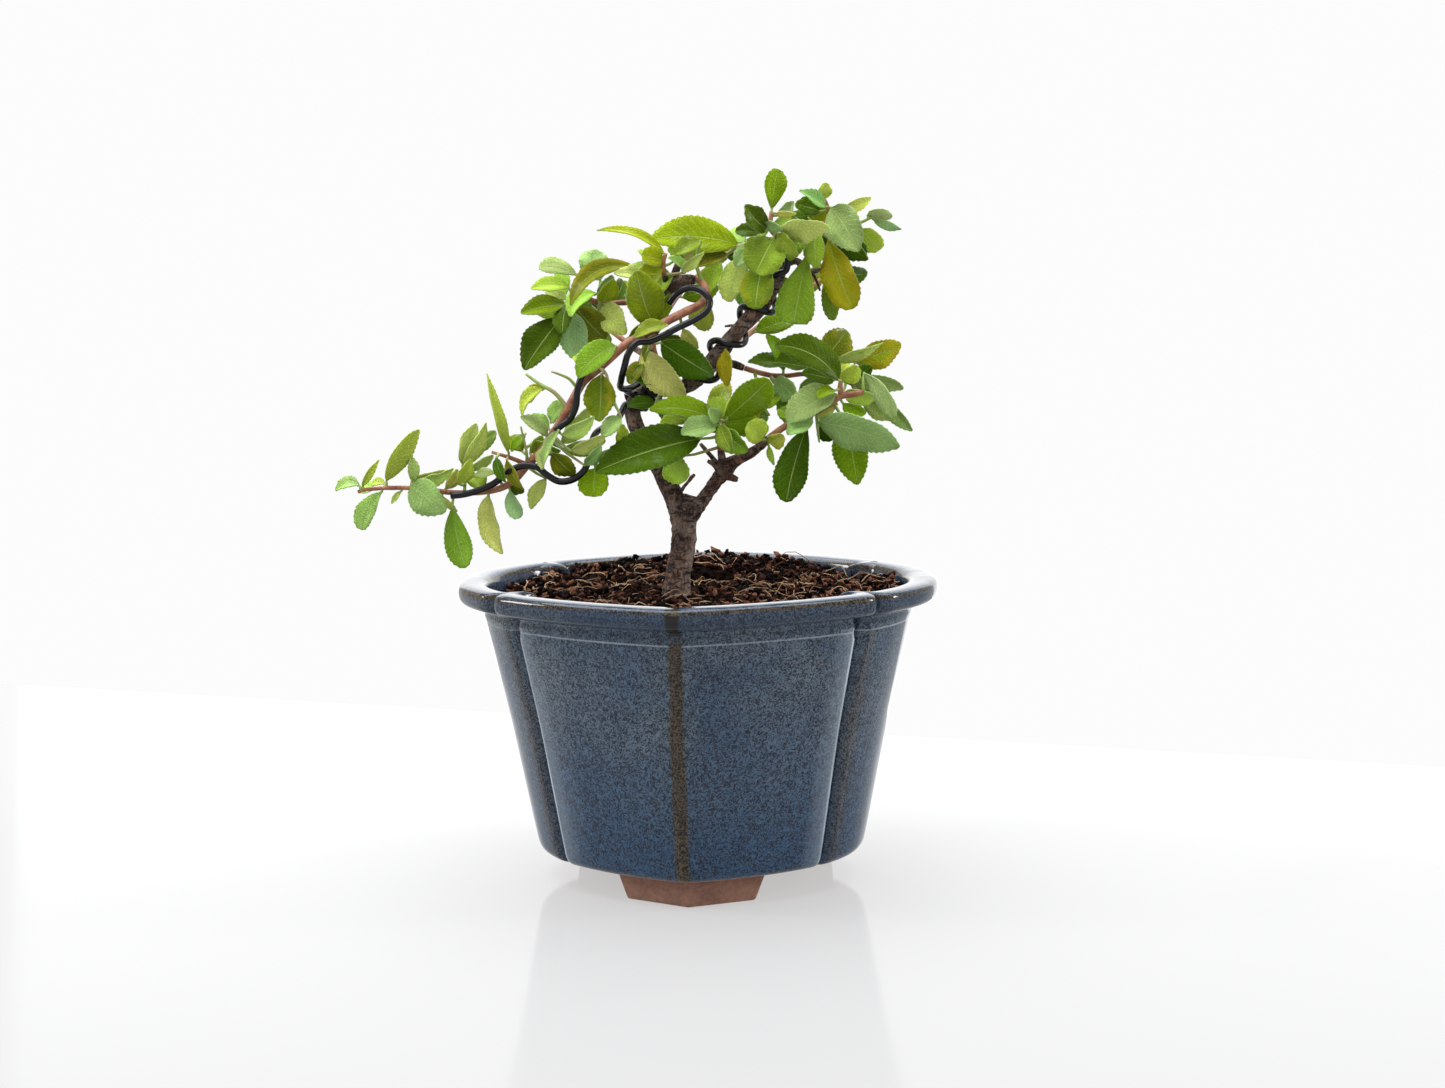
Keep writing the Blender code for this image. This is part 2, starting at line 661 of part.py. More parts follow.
CASCADE_LEAVES = (
    (-112, 131, -8, -120, 129.2, -8.5, 6.0, 45, 0.8, 1.4, "lance"),
    (-111, 130.6, -8, -105.2, 139.5, -10, 3.4, 40, 0.8, -1.4, "lance"),
    (-103, 132.4, -8.6, -91.5, 149.3, -6, 8.0, 35, 1.2, -2.4, "oval"),
    (-103.5, 131.4, -7.5, -108.6, 130.8, -3, 3.6, 40, 0.5, 0.8, "lance"),
    (-104.6, 128.9, -9, -111.8, 116, -11.5, 7.5, 20, 1.2, 1.0, "spoon"),
    (-94, 131.6, -9.6, -94.2, 140.3, -8.5, 4.4, 20, 0.5, 0.0, "oval"),
    (-94.5, 131.3, -10.4, -83.4, 121.8, -15, 12.5, 15, 1.2, 0.0, "oval"),
    (-94.5, 132.6, -8, -81.6, 134.8, -2, 7.0, 40, 1.0, -0.8, "oval"),
    (-81.2, 123.6, -11.2, -77.4, 102.7, -14, 10.0, 15, -1.0, 0.8, "spoon"),
    (-77.4, 137.6, -9, -72.3, 151, -6, 8.5, 35, 0.8, -1.6, "oval"),
    (-75, 142.2, -7, -66, 148.5, -2, 6.0, 25, 0.8, 0.0, "oval"),
    (-61.8, 141, -13, -68.4, 167.8, -16, 5.4, 45, 1.6, -2.4, "lance"),
    (-66, 139.8, -15.5, -63.2, 131.4, -19, 4.0, 15, 0.5, 0.4, "lance"),
    (-57.2, 141.5, -11, -63, 145.6, -8, 7.0, 30, 0.8, 0.4, "oval"),
    (-54.8, 141, -11, -50.3, 146.4, -8, 5.4, 30, 0.5, -0.4, "oval"),
    (-48.8, 146.4, -14.5, -57.6, 153.2, -18.5, 5.4, 30, 0.8, 0.6, "oval"),
    (-48.2, 149, -12, -54, 153.8, -8, 5.0, 30, 0.5, 0.0, "oval"),
    (-49.4, 162.6, -13.6, -57, 153.6, -15, 4.8, 30, 0.8, 2.2, "lance"),
    (-50.6, 163.6, -12.5, -55.3, 158.5, -8.5, 5.4, 30, 0.5, 0.0, "round"),
    (-42, 157.2, -13, -47.8, 151.9, -9, 7.5, 40, 0.8, 0.0, "round"),
    (-69, 127.2, -12, -64.8, 107.3, -13.5, 8.6, 35, -1.2, 2.6, "oval"),
    (-61.8, 129, -12, -58.6, 119.3, -14, 6.2, 25, 0.5, 0.4, "spoon"),
    (-61.6, 131, -11.5, -57, 128, -12.5, 4.6, 35, 0.5, 0.0, "lance"),
    (-49.6, 132.4, -8, -55, 122.3, -9, 6.0, 30, 0.5, 0.0, "oval"),
    (-48.6, 143.4, -16, -50.6, 135.4, -20, 4.2, 40, 0.5, 1.0, "lance"),
    (-75.6, 135.8, -8.6, -67, 140.5, -6, 4.2, 35, 0.5, 0.0, "oval"),
    (-83.4, 129.4, -9, -79.2, 136, -7, 5.2, 40, 0.5, 0.0, "oval"),
    (-44.4, 144, -12.6, -34.3, 156.3, -10, 8.2, 35, 0.8, 0.0, "lance"),
    (-43.8, 142.4, -10.5, -29.4, 144.8, -5, 7.0, 40, 0.8, 0.0, "oval"),
    (-30.4, 167, -18.6, -31.4, 151.2, -20.5, 11.5, 15, -0.8, 0.0, "oval"),
    (-25.2, 176.2, -17, -38, 165.8, -21.5, 10.0, 20, 0.8, 1.4, "oval"),
    (-8.2, 182.8, -15.8, -19, 178.8, -23, 5.6, 30, 0.8, 0.8, "oval"),
    (-12.4, 179.6, -12.4, -15.8, 170.8, -12.5, 3.8, 40, 0.5, 0.6, "lance"),
    (3.2, 210.2, -4, -5.4, 206, -8, 6.8, 30, 0.8, 0.0, "oval"),
    (5.2, 191.4, -2.4, 3.4, 181, 3, 9.5, 20, 0.8, 0.0, "oval"),
    (-3, 181.6, -8, 1.8, 174.8, -7, 5.6, 30, 0.5, 0.0, "oval"),
    (-31.6, 168.4, -13.5, -38.5, 173.4, -5.5, 8.0, 30, 0.8, 0.0, "oval"),
    (-88, 129, -8, -85.6, 123.5, 2, 9.0, 20, 0.8, 0.0, "oval"),
    (-107, 129.6, -6.5, -111.6, 129.8, 3, 6.0, 30, 0.6, 0.0, "oval"),
    (-71, 128.8, -9, -74.6, 132.6, 0, 8.0, 30, 0.8, 0.0, "oval"),
)

LOW_LEFT_STEMS = (
    ((-20.4, 143.3, -6.4, 0.8), (-25, 141.8, -8.4, 0.75), (-29, 141.2, -9.6, 0.7),
     (-31.8, 139.4, -10.4, 0.65),
     (-33, 136.6, -11, 0.6)),
)
LOW_LEFT_LEAVES = (
    (-33, 135.6, -11.4, -33.6, 126, -14, 11.5, 15, 0.8, 0.0, "round"),
    (-24.2, 142.6, -8.6, -24.2, 150.4, -9.5, 5.2, 20, 0.5, 0.0, "oval"),
    (-28, 141.4, -9, -27, 136.4, 0, 7.0, 30, 0.5, 0.0, "oval"),
)

LEFT_STEMS = (
    ((-20.3, 190.6, 8.1, 1.1), (-25, 190.4, 7, 1.0), (-30, 190.2, 5.5, 1.0), (-34, 191.8, 4.5, 0.9),
     (-38, 191.4, 4, 0.8), (-41.4, 190.4, 4, 0.65)),
    ((-30.6, 193.6, 5, 0.7), (-30.4, 190, 5.2, 1.1), (-30, 186, 4, 0.8)),
)
LEFT_LEAVES = (
    (-30, 198, 5.5, -33.2, 207.8, 7, 10.5, 10, 0.8, -0.6, "round"),
    (-31, 193.4, 5, -26, 199.6, 2.5, 5.6, 30, 0.5, 0.0, "oval"),
    (-37.4, 199.6, 6.5, -50.2, 202.6, 9, 7.4, 35, 0.8, 0.5, "spoon"),
    (-40.4, 195.8, 5, -53, 195.4, 3, 6.2, 30, 0.8, 0.8, "oval"),
    (-41, 191.6, 5.5, -48.2, 194.4, 9, 4.6, 35, 0.5, 0.0, "oval"),
    (-42, 190, 3.5, -56.6, 187.6, 0, 8.0, 30, 0.8, 0.2, "oval"),
    (-43.6, 185.2, 1.5, -56, 168.8, -3, 12.8, 20, 1.2, 0.0, "oval"),
    (-41.3, 189.6, 2, -43, 180.4, -4.5, 7.6, 30, 0.8, 0.0, "oval"),
    (-38, 188.8, 4.5, -28.6, 178.5, 4, 12.8, 20, 0.8, 0.0, "oval"),
    (-38.8, 187.2, 3, -37.6, 171, 1, 11.0, 20, 0.8, 0.0, "oval"),
    (-31.4, 193.6, 4, -40, 186, -5, 7.4, 35, 1.2, 2.0, "oval"),
    (-29.6, 190.8, 4, -25.6, 198.2, -3, 7.4, 25, 0.5, 0.0, "oval"),
    (-29, 190, 4, -21.8, 180.2, -2, 10.0, 20, 0.8, 0.0, "oval"),
    (-26, 190.6, 8.4, -22.6, 197.6, 17, 8.0, 30, 0.8, 0.0, "oval"),
    (-33, 191.8, 6, -39, 184, 15, 9.5, 25, 0.8, 0.0, "oval"),
)

CROWN_STEMS = (
    ((-8.7, 199.6, -0.8, 0.9), (-9.2, 203, -1.8, 0.8), (-8.2, 206.4, -2.6, 0.6)),
    ((-8.9, 201, -1.2, 0.7), (-13, 203, -0.5, 0.6), (-17.5, 202.5, 0, 0.5)),
)
CROWN_LEAVES = (
    (-8.6, 206.4, -2.6, -30.8, 214.2, -6, 4.8, 45, 1.4, 2.8, "lance"),
    (-9.4, 203.8, -2.2, -16.2, 206.2, -5, 7.6, 20, 0.5, 0.0, "round"),
    (-9.2, 201.2, -1.6, -17.2, 200.6, -5, 5.6, 25, 0.5, 0.0, "oval"),
    (-18.6, 202.3, -0.4, -40, 189.8, -9.5, 7.4, 35, 1.6, 5.0, "oval"),
    (-12, 202, 0.6, -24.5, 199.4, -1.5, 5.0, 40, 0.8, 0.0, "lance"),
    (-10, 200.4, -1, -14.4, 195.6, -3.5, 4.6, 30, 0.3, 0.0, "oval"),
    (-12.6, 203.2, 0.6, -15.6, 207.6, 8, 7.0, 30, 0.6, 0.0, "oval"),
)

INNER_STEMS = (
    ((-9.7, 163, -2.4, 0.9), (-10.2, 166, -4.6, 0.9), (-11.6, 171, -6, 0.85), (-13, 177, -6.2, 0.8),
     (-13.4, 182, -5.6, 0.7)),
)
INNER_LEAVES = (
    (-13, 183, -5.8, -18, 201, -8.5, 13.8, 15, 0.8, -0.8, "oval"),
    (-14, 181, -4.6, -22, 193.6, -4.5, 5.8, 30, 0.8, 0.0, "oval"),
    (-16.6, 174.6, -7, -2.4, 158.8, -9, 12.0, 25, 1.2, 0.0, "oval"),
    (-10.4, 177.2, -6.6, 7, 165.8, -9.5, 12.2, 15, 0.8, 0.0, "oval"),
    (-10.8, 179.4, -5, -2.6, 177, -2.5, 6.4, 30, 0.5, 0.0, "oval"),
    (-12, 183.6, -4, -7, 193.2, -1.6, 5.0, 25, 0.5, 0.0, "oval"),
    (-11.6, 164.6, -4.6, -21, 166.8, -8.5, 8.4, 30, 0.8, 0.0, "oval"),
    (-12.6, 157, -6.6, -22, 156.4, -10.5, 5.4, 25, 0.8, 0.0, "oval"),
    (-16.6, 171, -7, -21.2, 163.6, -9.4, 6.0, 25, 0.5, 0.0, "oval"),
)

APEX_LEFT_STEMS = (
    ((29.5, 209.6, -0.7, 1.05), (28.6, 211.6, -1.6, 1.0), (26.9, 213.2, -2.2, 0.95),
     (26.5, 216.2, -2.7, 0.85),
     (26.8, 219.6, -3, 0.65)),
    ((28.6, 211, -1.2, 0.8), (23, 210, 3, 0.7), (17, 208.8, 4.4, 0.65), (12.5, 206.2, 5.2, 0.6),
     (10, 204.2, 5.2, 0.5)),
)
APEX_LEFT_LEAVES = (
    (26.9, 220, -3, 29, 233.4, -1.5, 8.2, 20, 0.4, -0.4, "spoon"),
    (25.2, 214.2, -3.4, 18.3, 222, -7, 8.6, 30, 0.8, -1.6, "oval"),
    (22.6, 212.8, -2.2, 14.8, 213.2, -3, 6.2, 35, 0.5, 0.0, "oval"),
    (27.4, 210.8, -4, 21.3, 199.3, -8, 15.5, 10, 0.8, 0.0, "round"),
    (20.6, 208.4, 2.4, 14.8, 201.8, -1, 7.0, 25, 0.5, 0.0, "oval"),
    (17.4, 204.2, 4, 12, 190.3, 2, 9.8, 20, 0.8, 0.0, "round"),
    (23.4, 201.4, -4, 21, 187.7, -9.5, 12.2, 15, 0.8, 0.0, "round"),
    (27.2, 215.6, -2, 33.2, 217.8, 0.5, 5.4, 30, 0.4, 0.0, "oval"),
    (28, 219, -3.2, 35, 218.8, -5.5, 2.8, 30, 0.3, 0.0, "lance"),
    (28.4, 218.2, -2, 34.2, 222.6, 2, 5.0, 30, 0.3, 0.0, "oval"),
    (15.8, 208.8, 5, -13.8, 210.8, 4, 13.5, 20, 1.6, 1.6, "oval"),
    (12, 205.8, 4.6, 2.2, 202, 1, 7.0, 30, 0.8, 0.4, "oval"),
    (9.8, 203.6, 4.8, 4.6, 192.8, 4.5, 8.0, 25, 0.8, 0.0, "oval"),
    (30.2, 212.2, -3.6, 45.8, 214, -10.5, 10.0, 35, 1.2, -2.2, "oval"),
    (24, 210.6, 3.4, 20, 216.4, 11, 8.0, 25, 0.6, 0.0, "oval"),
    (18, 209.4, 5.4, 12.6, 213, 13, 8.0, 25, 0.6, 0.0, "oval"),
)

APEX_RIGHT_STEMS = (
    ((35.6, 207.9, 2.7, 1.0), (39, 210.5, 2.9, 0.95), (43, 213, 2.6, 0.9), (45.4, 217, 2, 0.8),
     (45.3, 221, 1, 0.7), (44.2, 223.6, 0, 0.5)),
    ((44, 214.2, 2.6, 0.8), (50, 214.4, 4, 0.7), (56, 215.6, 4, 0.6), (60, 217.4, 3, 0.45)),
)
APEX_RIGHT_LEAVES = (
    (42.8, 219.4, 1, 34.6, 221.8, -1, 7.6, 30, 0.5, 0.0, "oval"),
    (44.8, 220.8, 0, 36, 226.3, -6, 5.4, 35, 0.8, 0.0, "lance"),
    (43.8, 223.2, -0.4, 44.6, 228.8, -2, 5.4, 20, 0.2, 0.0, "oval"),
    (46.6, 220.6, -0.6, 55.6, 206.2, -7, 13.5, 12, 0.8, -0.8, "oval"),
    (49.5, 219.6, 1.6, 59.6, 223.6, 5, 5.0, 30, 0.5, 0.0, "oval"),
    (58.4, 217.8, 3.4, 66.6, 217.2, 2, 5.6, 30, 0.5, -1.2, "oval"),
    (60, 217, 3, 69.6, 213.2, 4.5, 4.0, 35, 0.5, 0.0, "lance"),
    (46.8, 213.4, 3, 58.6, 203.4, 0.5, 9.0, 40, 0.8, -0.4, "oval"),
    (56.4, 213.6, 4.8, 62.8, 206.8, 6, 9.0, 25, 0.5, 0.0, "round"),
    (41.4, 212.2, 0.6, 41.6, 200.8, -5, 8.0, 25, 0.8, 0.0, "oval"),
    (45.4, 210.6, 1, 53.4, 187.3, -3, 13.2, 20, 1.2, 0.0, "spoon"),
    (47.2, 203, 5, 46.8, 183.6, 3, 7.2, 25, 0.6, 0.0, "spoon"),
    (39, 207.4, -0.4, 33.8, 182.6, -4, 14.5, 15, 0.8, 0.0, "torn"),
    (50, 214.8, 5.4, 48.6, 219, 14, 8.5, 25, 0.6, 0.0, "oval"),
    (46.8, 213.6, 5, 47.8, 206, 13, 9.0, 25, 0.6, 0.0, "oval"),
)

MIDDLE_STEMS = (
    ((17.3, 168.3, 2.1, 1.0), (20.5, 167.2, 2.6, 0.9), (26, 165.8, 3.2, 0.9), (31.5, 165.6, 3.8, 0.85),
     (37, 166, 4.2, 0.8), (43, 165.2, 4.8, 0.8), (49, 164, 5.2, 0.7), (53, 162.4, 5.2, 0.6)),
    ((26, 165.6, 3.2, 0.8), (27.2, 163.4, 1.6, 0.75), (30, 161.2, 0.6, 0.6), (33, 158.8, 0, 0.5)),
    ((20.6, 167, 2.4, 0.6), (21.8, 161, 0, 0.55), (23, 156.5, -1, 0.5), (25.4, 152.3, -1.6, 0.4)),
)
MIDDLE_LEAVES = (
    (43, 170.4, 4, 51.4, 180.2, 7, 12.8, 20, 0.8, 0.0, "oval"),
    (30.2, 167.2, 2.4, 24.6, 179.2, -0.5, 6.6, 30, 0.8, 1.0, "oval"),
    (38.4, 168.2, 2.6, 18.4, 170.2, -3, 8.6, 45, 0.8, 0.0, "oval"),
    (39.6, 168.6, 5, 31, 174.8, 8, 7.0, 25, 0.5, 0.0, "oval"),
    (46, 170, 4.4, 63.3, 176, 2.4, 5.0, 40, 0.6, 0.0, "lance"),
    (54, 169.6, 6, 69.3, 175.6, 9, 10.5, 20, 0.8, 0.0, "oval"),
    (47, 163.8, 3, 36.3, 166.4, -2, 7.6, 25, 0.6, 0.0, "oval"),
    (50.4, 163.4, 4.2, 59.5, 168.3, 4, 8.0, 30, 0.5, 0.0, "oval"),
    (53.2, 161.4, 4.6, 70, 160.6, 3, 7.6, 30, 0.8, -2.8, "oval"),
    (53.4, 160.6, 4.4, 64.8, 153.8, 3, 5.0, 30, 0.5, -0.4, "lance"),
    (60.4, 159.4, 5.4, 73, 146.6, 4.5, 6.4, 25, 0.5, 0.0, "oval"),
    (29.4, 160.4, 0.2, 24.8, 154.8, -3, 5.4, 30, 0.4, 0.0, "oval"),
    (30.6, 160.2, 0.2, 31.2, 149.6, -1.5, 6.0, 30, 0.4, 0.0, "oval"),
    (33, 158.4, 0.4, 30.4, 153.6, 4.5, 4.8, 30, 0.3, 0.0, "oval"),
    (27.4, 164.4, 0.8, 35.2, 156.8, -4, 8.4, 25, 0.8, -0.8, "oval"),
    (21.6, 158.6, 0.6, 21, 147.6, 1.6, 5.2, 35, 0.4, 0.0, "lance"),
    (41, 165.2, 6, 40, 158, 14, 9.0, 25, 0.6, 0.0, "oval"),
    (47, 164.6, 6.4, 50.6, 171, 14.5, 9.0, 25, 0.6, 0.0, "oval"),
)

RED_STEMS = (
    ((22.6, 142.6, -6.6, 1.3), (27, 146.2, -8, 1.2), (31, 149, -9, 1.15), (36, 151.3, -9.5, 1.15),
     (41, 153.5, -10, 1.15), (46, 156.5, -10, 1.2), (49.3, 158.6, -10, 1.25), (53, 159, -10, 1.05),
     (56.6, 159.7, -10, 0.95)),
    ((49.2, 158.6, -10, 1.0), (49, 161.5, -10.6, 0.9), (49.3, 163.4, -11, 0.7)),
    ((41.2, 153.6, -10, 0.8), (41.3, 148.6, -9.2, 0.5), (41.9, 143.2, -8.2, 0.3)),
)
RED_LEAVES = (
    (41.6, 149.9, -12, 68.7, 141.2, -19, 13.5, 25, 1.6, -2.2, "oval"),
    (51, 150, -7.4, 54.6, 128.8, -10, 13.0, 12, -0.8, 0.0, "oval"),
    (38, 149, -11.6, 30.6, 123.3, -14, 12.2, 15, -0.8, 0.8, "spoon"),
    (39.6, 151.4, -12, 31.2, 146, -17, 7.4, 25, 0.4, 0.0, "oval"),
    (47.6, 159.2, -11.4, 31.4, 149.8, -15, 12.4, 25, 0.8, 1.2, "oval"),
    (47.2, 160.4, -12.6, 41.3, 157.8, -17.5, 5.0, 35, 0.5, 0.4, "oval"),
    (42.4, 149.4, -7.8, 46.6, 144, -4.5, 6.8, 30, 0.4, 0.0, "oval"),
    (48, 155.8, -8, 42.2, 150.6, -4, 6.4, 35, 0.4, 0.0, "oval"),
    (49.8, 156.2, -8, 57.3, 152.4, -3, 6.4, 35, 0.5, 0.0, "oval"),
    (23, 144.4, -10.4, 18.2, 150.2, -13.5, 9.4, 15, 0.4, 0.0, "round"),
    (25, 143.4, -10.4, 30, 145.8, -13.8, 7.0, 30, 0.4, 0.0, "oval"),
    (25, 142.4, -7.6, 26.7, 135.8, -9, 2.8, 30, 0.3, 0.0, "lance"),
    (48.6, 163.8, -11.4, 27.4, 175.6, -14, 12.0, 25, 1.6, 2.8, "oval"),
    (50, 163.6, -11.8, 54.8, 168.6, -15, 6.8, 20, 0.4, 0.0, "round"),
    (56.8, 166.2, -8, 66.8, 151, -12, 7.4, 35, 0.8, -2.2, "spoon"),
    (33, 150.6, -7.8, 28.6, 154.6, -4.5, 6.0, 30, 0.4, 0.0, "oval"),
)

FORK_STEMS = (
    ((9, 141.4, -9.3, 1.2), (8.6, 144.6, -11, 1.1), (8.8, 148, -12.5, 1.0), (9.2, 150.8, -13.2, 0.75)),
)
FORK_LEAVES = (
    (10, 151, -13.4, 25.5, 164.4, -19, 12.8, 20, 0.8, 0.0, "spoon"),
    (9, 151.4, -12.4, 7.4, 158.8, -8, 8.6, 30, 0.5, 0.0, "oval"),
    (8.4, 150.4, -13.6, 5, 154.8, -17, 5.6, 25, 0.3, 0.0, "oval"),
    (10.4, 149.6, -11.6, 21.2, 149.4, -6.5, 9.4, 35, 0.8, -1.4, "oval"),
    (9.8, 147.8, -13, 18, 140.6, -17, 8.6, 30, 0.6, 0.0, "oval"),
    (7.6, 149.2, -14, -4.2, 146.6, -19, 9.0, 30, 0.8, 0.0, "oval"),
    (6.8, 151.2, -12, -14.6, 154.8, -17, 9.0, 35, 1.2, 1.6, "oval"),
    (2.4, 145, -14, -33, 134.4, -21, 15.8, 15, 1.6, 0.8, "oval"),
    (-8.6, 138.8, -11, -2.8, 131, -14, 10.0, 20, 0.5, 0.0, "round"),
    (-1, 152.2, -10.4, -11.2, 150.2, -12.5, 6.2, 30, 0.5, 0.0, "oval"),
    (9.6, 149.8, -11, 14.6, 155.6, -2.5, 8.5, 25, 0.6, 0.0, "oval"),
    (7.8, 147, -10, 1.4, 151.4, -2, 8.5, 25, 0.6, 0.0, "oval"),
)

# Far side: stems, how many leaves and how long they are. Their leaves follow a rule.
FAR_STEMS = {
    "far_left_spray": (
        ((-20.8, 176.5, 18.9, 1.0), (-24.5, 179.5, 22, 0.95), (-30, 183.5, 25, 0.85), (-37, 187, 28, 0.7),
         (-43, 190, 30, 0.5)), 7, 16.0),
    "far_crown_spray": (
        ((-7.4, 188.5, 15.9, 1.0), (-4, 193, 20, 0.9), (1, 198, 24, 0.8), (6, 202, 27, 0.65),
         (10, 205, 29, 0.5)), 6, 15.0),
    "far_right_spray": (
        ((14.7, 176.6, 7.9, 1.0), (21, 181, 14, 0.95), (32, 189, 20, 0.85), (40, 195, 25, 0.7),
         (47, 201, 28, 0.5)), 7, 16.0),
    "far_low_spray": (
        ((-10.4, 144.2, 7.9, 1.0), (-6, 146.5, 13, 0.9), (0, 149, 19, 0.8), (8, 151, 24, 0.65),
         (16, 152.5, 27, 0.5)), 6, 15.0),
}
GOLDEN_ANGLE = 2.4


def far_leaves(stations, count, length, rng):
    """Leaves set round a stem at the golden angle, each given as seen from the front."""
    points, _ = stem_path(stations, 1.0)
    leaves = []
    last = len(stations) - 1
    for index in range(count):
        share = 0.16 + 0.82 * index / (count - 1)
        place = share * last
        lower = min(int(place), last - 1)
        part = place - lower
        spot = [a + (b - a) * part for a, b in zip(stations[lower], stations[lower + 1])]
        angle = index * GOLDEN_ANGLE + rng.uniform(-0.3, 0.3)
        size = length * rng.uniform(0.8, 1.1)
        away = (math.cos(angle), 0.55 * math.sin(angle) + 0.35, 0.35 + 0.5 * abs(math.sin(angle)))
        start = [value + 2.2 * share_of for value, share_of in zip((spot[0], spot[1], spot[2]), away)]
        end = [value + size * share_of for value, share_of in zip((spot[0], spot[1], spot[2]), away)]
        turn = rng.uniform(-35.0, 35.0)
        leaves.append((*start, *end, size * 0.5, turn, 0.8, rng.uniform(-0.8, 0.8), "oval"))
    return leaves


# Wires: free stretches as seen from the front, across, up, back.

ARCH_ROUTE = (
    (-7.4, 190, -4.6), (-4.6, 193.4, -6), (-0.6, 195, -7.4), (3.2, 194, -9), (6, 191, -10.4),
    (5, 187.4, -12), (0.6, 184.4, -13), (-4.6, 182, -13.6), (-9.6, 179.4, -14.8), (-14, 177.6, -17.2),
    (-18.2, 177.2, -19), (-21.2, 173.8, -19.8), (-22.6, 169.4, -18.6), (-23.8, 165, -16),
    (-24, 162.4, -11), (-21, 162.2, -6),
)
ARCH_COIL = (0.408, 0.435, 0.75, -60.0)
OUTER_COIL = (0.384, 0.346, -1.3, 88.0)
OUTER_ROUTE = (
    (-25.2, 152, -4), (-29.6, 149.4, -6.4), (-32.6, 147.4, -10), (-34.2, 143.8, -13), (-35, 139.4, -15.2),
    (-36.8, 135, -16.6), (-40.6, 132, -17.2), (-45.2, 131.4, -17.4), (-49.2, 133.6, -17.4),
    (-52.4, 136.2, -17), (-56.2, 136.9, -16.4), (-60, 136, -15.8), (-63.4, 133.8, -15.2),
    (-66.8, 131.2, -14.6), (-70.4, 129.5, -14), (-74.2, 128.2, -13.6), (-78, 127.4, -13.2),
    (-81.6, 127.1, -13),
)
SHOOT_ROUTE = (
    (-33, 170.6, -15), (-36.4, 167.4, -18), (-38.4, 161.6, -18.6), (-39, 156.6, -17.4), (-41, 152.4, -16.8),
    (-43.8, 150.2, -17.4), (-46.2, 148.4, -17.6),
)
APEX_COIL = (0.475, 0.93, 3.8, 120.0)
APEX_TAIL = ((32.4, 205.2, -3), (34.2, 206.6, -3.2), (36, 207.8, -3))


def make_wires(collection, material):
    """Four training wires: on the arch, out along the low shoot, round its middle, and up to the apex."""
    arch = [from_front(*spot) for spot in ARCH_ROUTE]
    make_wire("arch_wire", collection, material, arch + wound(LEFT_LIMB, *ARCH_COIL))
    outer = wound(LEFT_LIMB, *OUTER_COIL) + [from_front(*spot) for spot in OUTER_ROUTE]
    make_wire("outer_wire", collection, material, outer)
    make_wire("shoot_wire", collection, material, [from_front(*spot) for spot in SHOOT_ROUTE])
    apex = wound(LEFT_LIMB, *APEX_COIL) + [from_front(*spot) for spot in APEX_TAIL]
    make_wire("apex_wire", collection, material, apex)


def stand_on_origin(collection):
    """Move the whole object so that the middle of its box's underside is the origin."""
    bpy.context.view_layer.update()
    graph = bpy.context.evaluated_depsgraph_get()
    corners = []
    for item in collection.objects:
        mesh = item.evaluated_get(graph).data
        corners += [item.matrix_world @ vert.co for vert in mesh.vertices]
    low = Vector([min(corner[axis] for corner in corners) for axis in range(3)])
    high = Vector([max(corner[axis] for corner in corners) for axis in range(3)])
    shift = Vector((-(low.x + high.x) / 2.0, -(low.y + high.y) / 2.0, -low.z))
    for item in collection.objects:
        item.data.transform(Matrix.Translation(shift))


def main():
    clear_scene()
    parts = new_collection("firethorn_bonsai")
    cutters = new_collection("cutters")
    glaze = new_material("blue_glaze", (0.09, 0.14, 0.22), 0.18)
    plastic = new_material("mesh_plastic", (0.03, 0.03, 0.03), 0.5)
    earth = new_material("soil", (0.07, 0.04, 0.025), 0.95)
    bark = new_material("bark", (0.12, 0.08, 0.055), 0.85)
    leaf = new_material("leaf", (0.14, 0.24, 0.04), 0.45)
    wire = new_material("black_wire", (0.01, 0.01, 0.012), 0.35, 0.7)

    make_pot(parts, cutters, glaze)
    make_drain_mesh(parts, plastic)
    trunk_foot = from_front(*TRUNK[0][:3])
    make_soil(parts, earth, trunk_foot)
    wood = (TRUNK, LEFT_LIMB, CROWN_LIMB, RIGHT_LIMB) + WOOD_STUBS
    make_spray("trunk", parts, bark, wood, LIMB_LEAVES, sides=8)
    make_spray("cascade_shoot", parts, leaf, CASCADE_STEMS, CASCADE_LEAVES)
    make_spray("low_left_sprig", parts, leaf, LOW_LEFT_STEMS, LOW_LEFT_LEAVES)
    make_spray("left_spray", parts, leaf, LEFT_STEMS, LEFT_LEAVES)
    make_spray("crown_spray", parts, leaf, CROWN_STEMS, CROWN_LEAVES)
    make_spray("inner_spray", parts, leaf, INNER_STEMS, INNER_LEAVES)
    make_spray("apex_left_spray", parts, leaf, APEX_LEFT_STEMS, APEX_LEFT_LEAVES)
    make_spray("apex_right_spray", parts, leaf, APEX_RIGHT_STEMS, APEX_RIGHT_LEAVES)
    make_spray("middle_right_spray", parts, leaf, MIDDLE_STEMS, MIDDLE_LEAVES)
    make_spray("red_shoot", parts, leaf, RED_STEMS, RED_LEAVES)
    make_spray("fork_spray", parts, leaf, FORK_STEMS, FORK_LEAVES)
    rng = random.Random(7)
    for name, (stations, count, length) in FAR_STEMS.items():
        leaves = far_leaves(stations, count, length, rng)
        make_spray(name, parts, leaf, (stations,), leaves)
    make_wires(parts, wire)
    stand_on_origin(parts)


main()
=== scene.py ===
"""A firethorn bonsai in a four-lobed, blue glazed pot, on a pale table in a plain white studio."""

import math
import random

import bmesh
import bpy
from mathutils import Matrix, Vector, noise


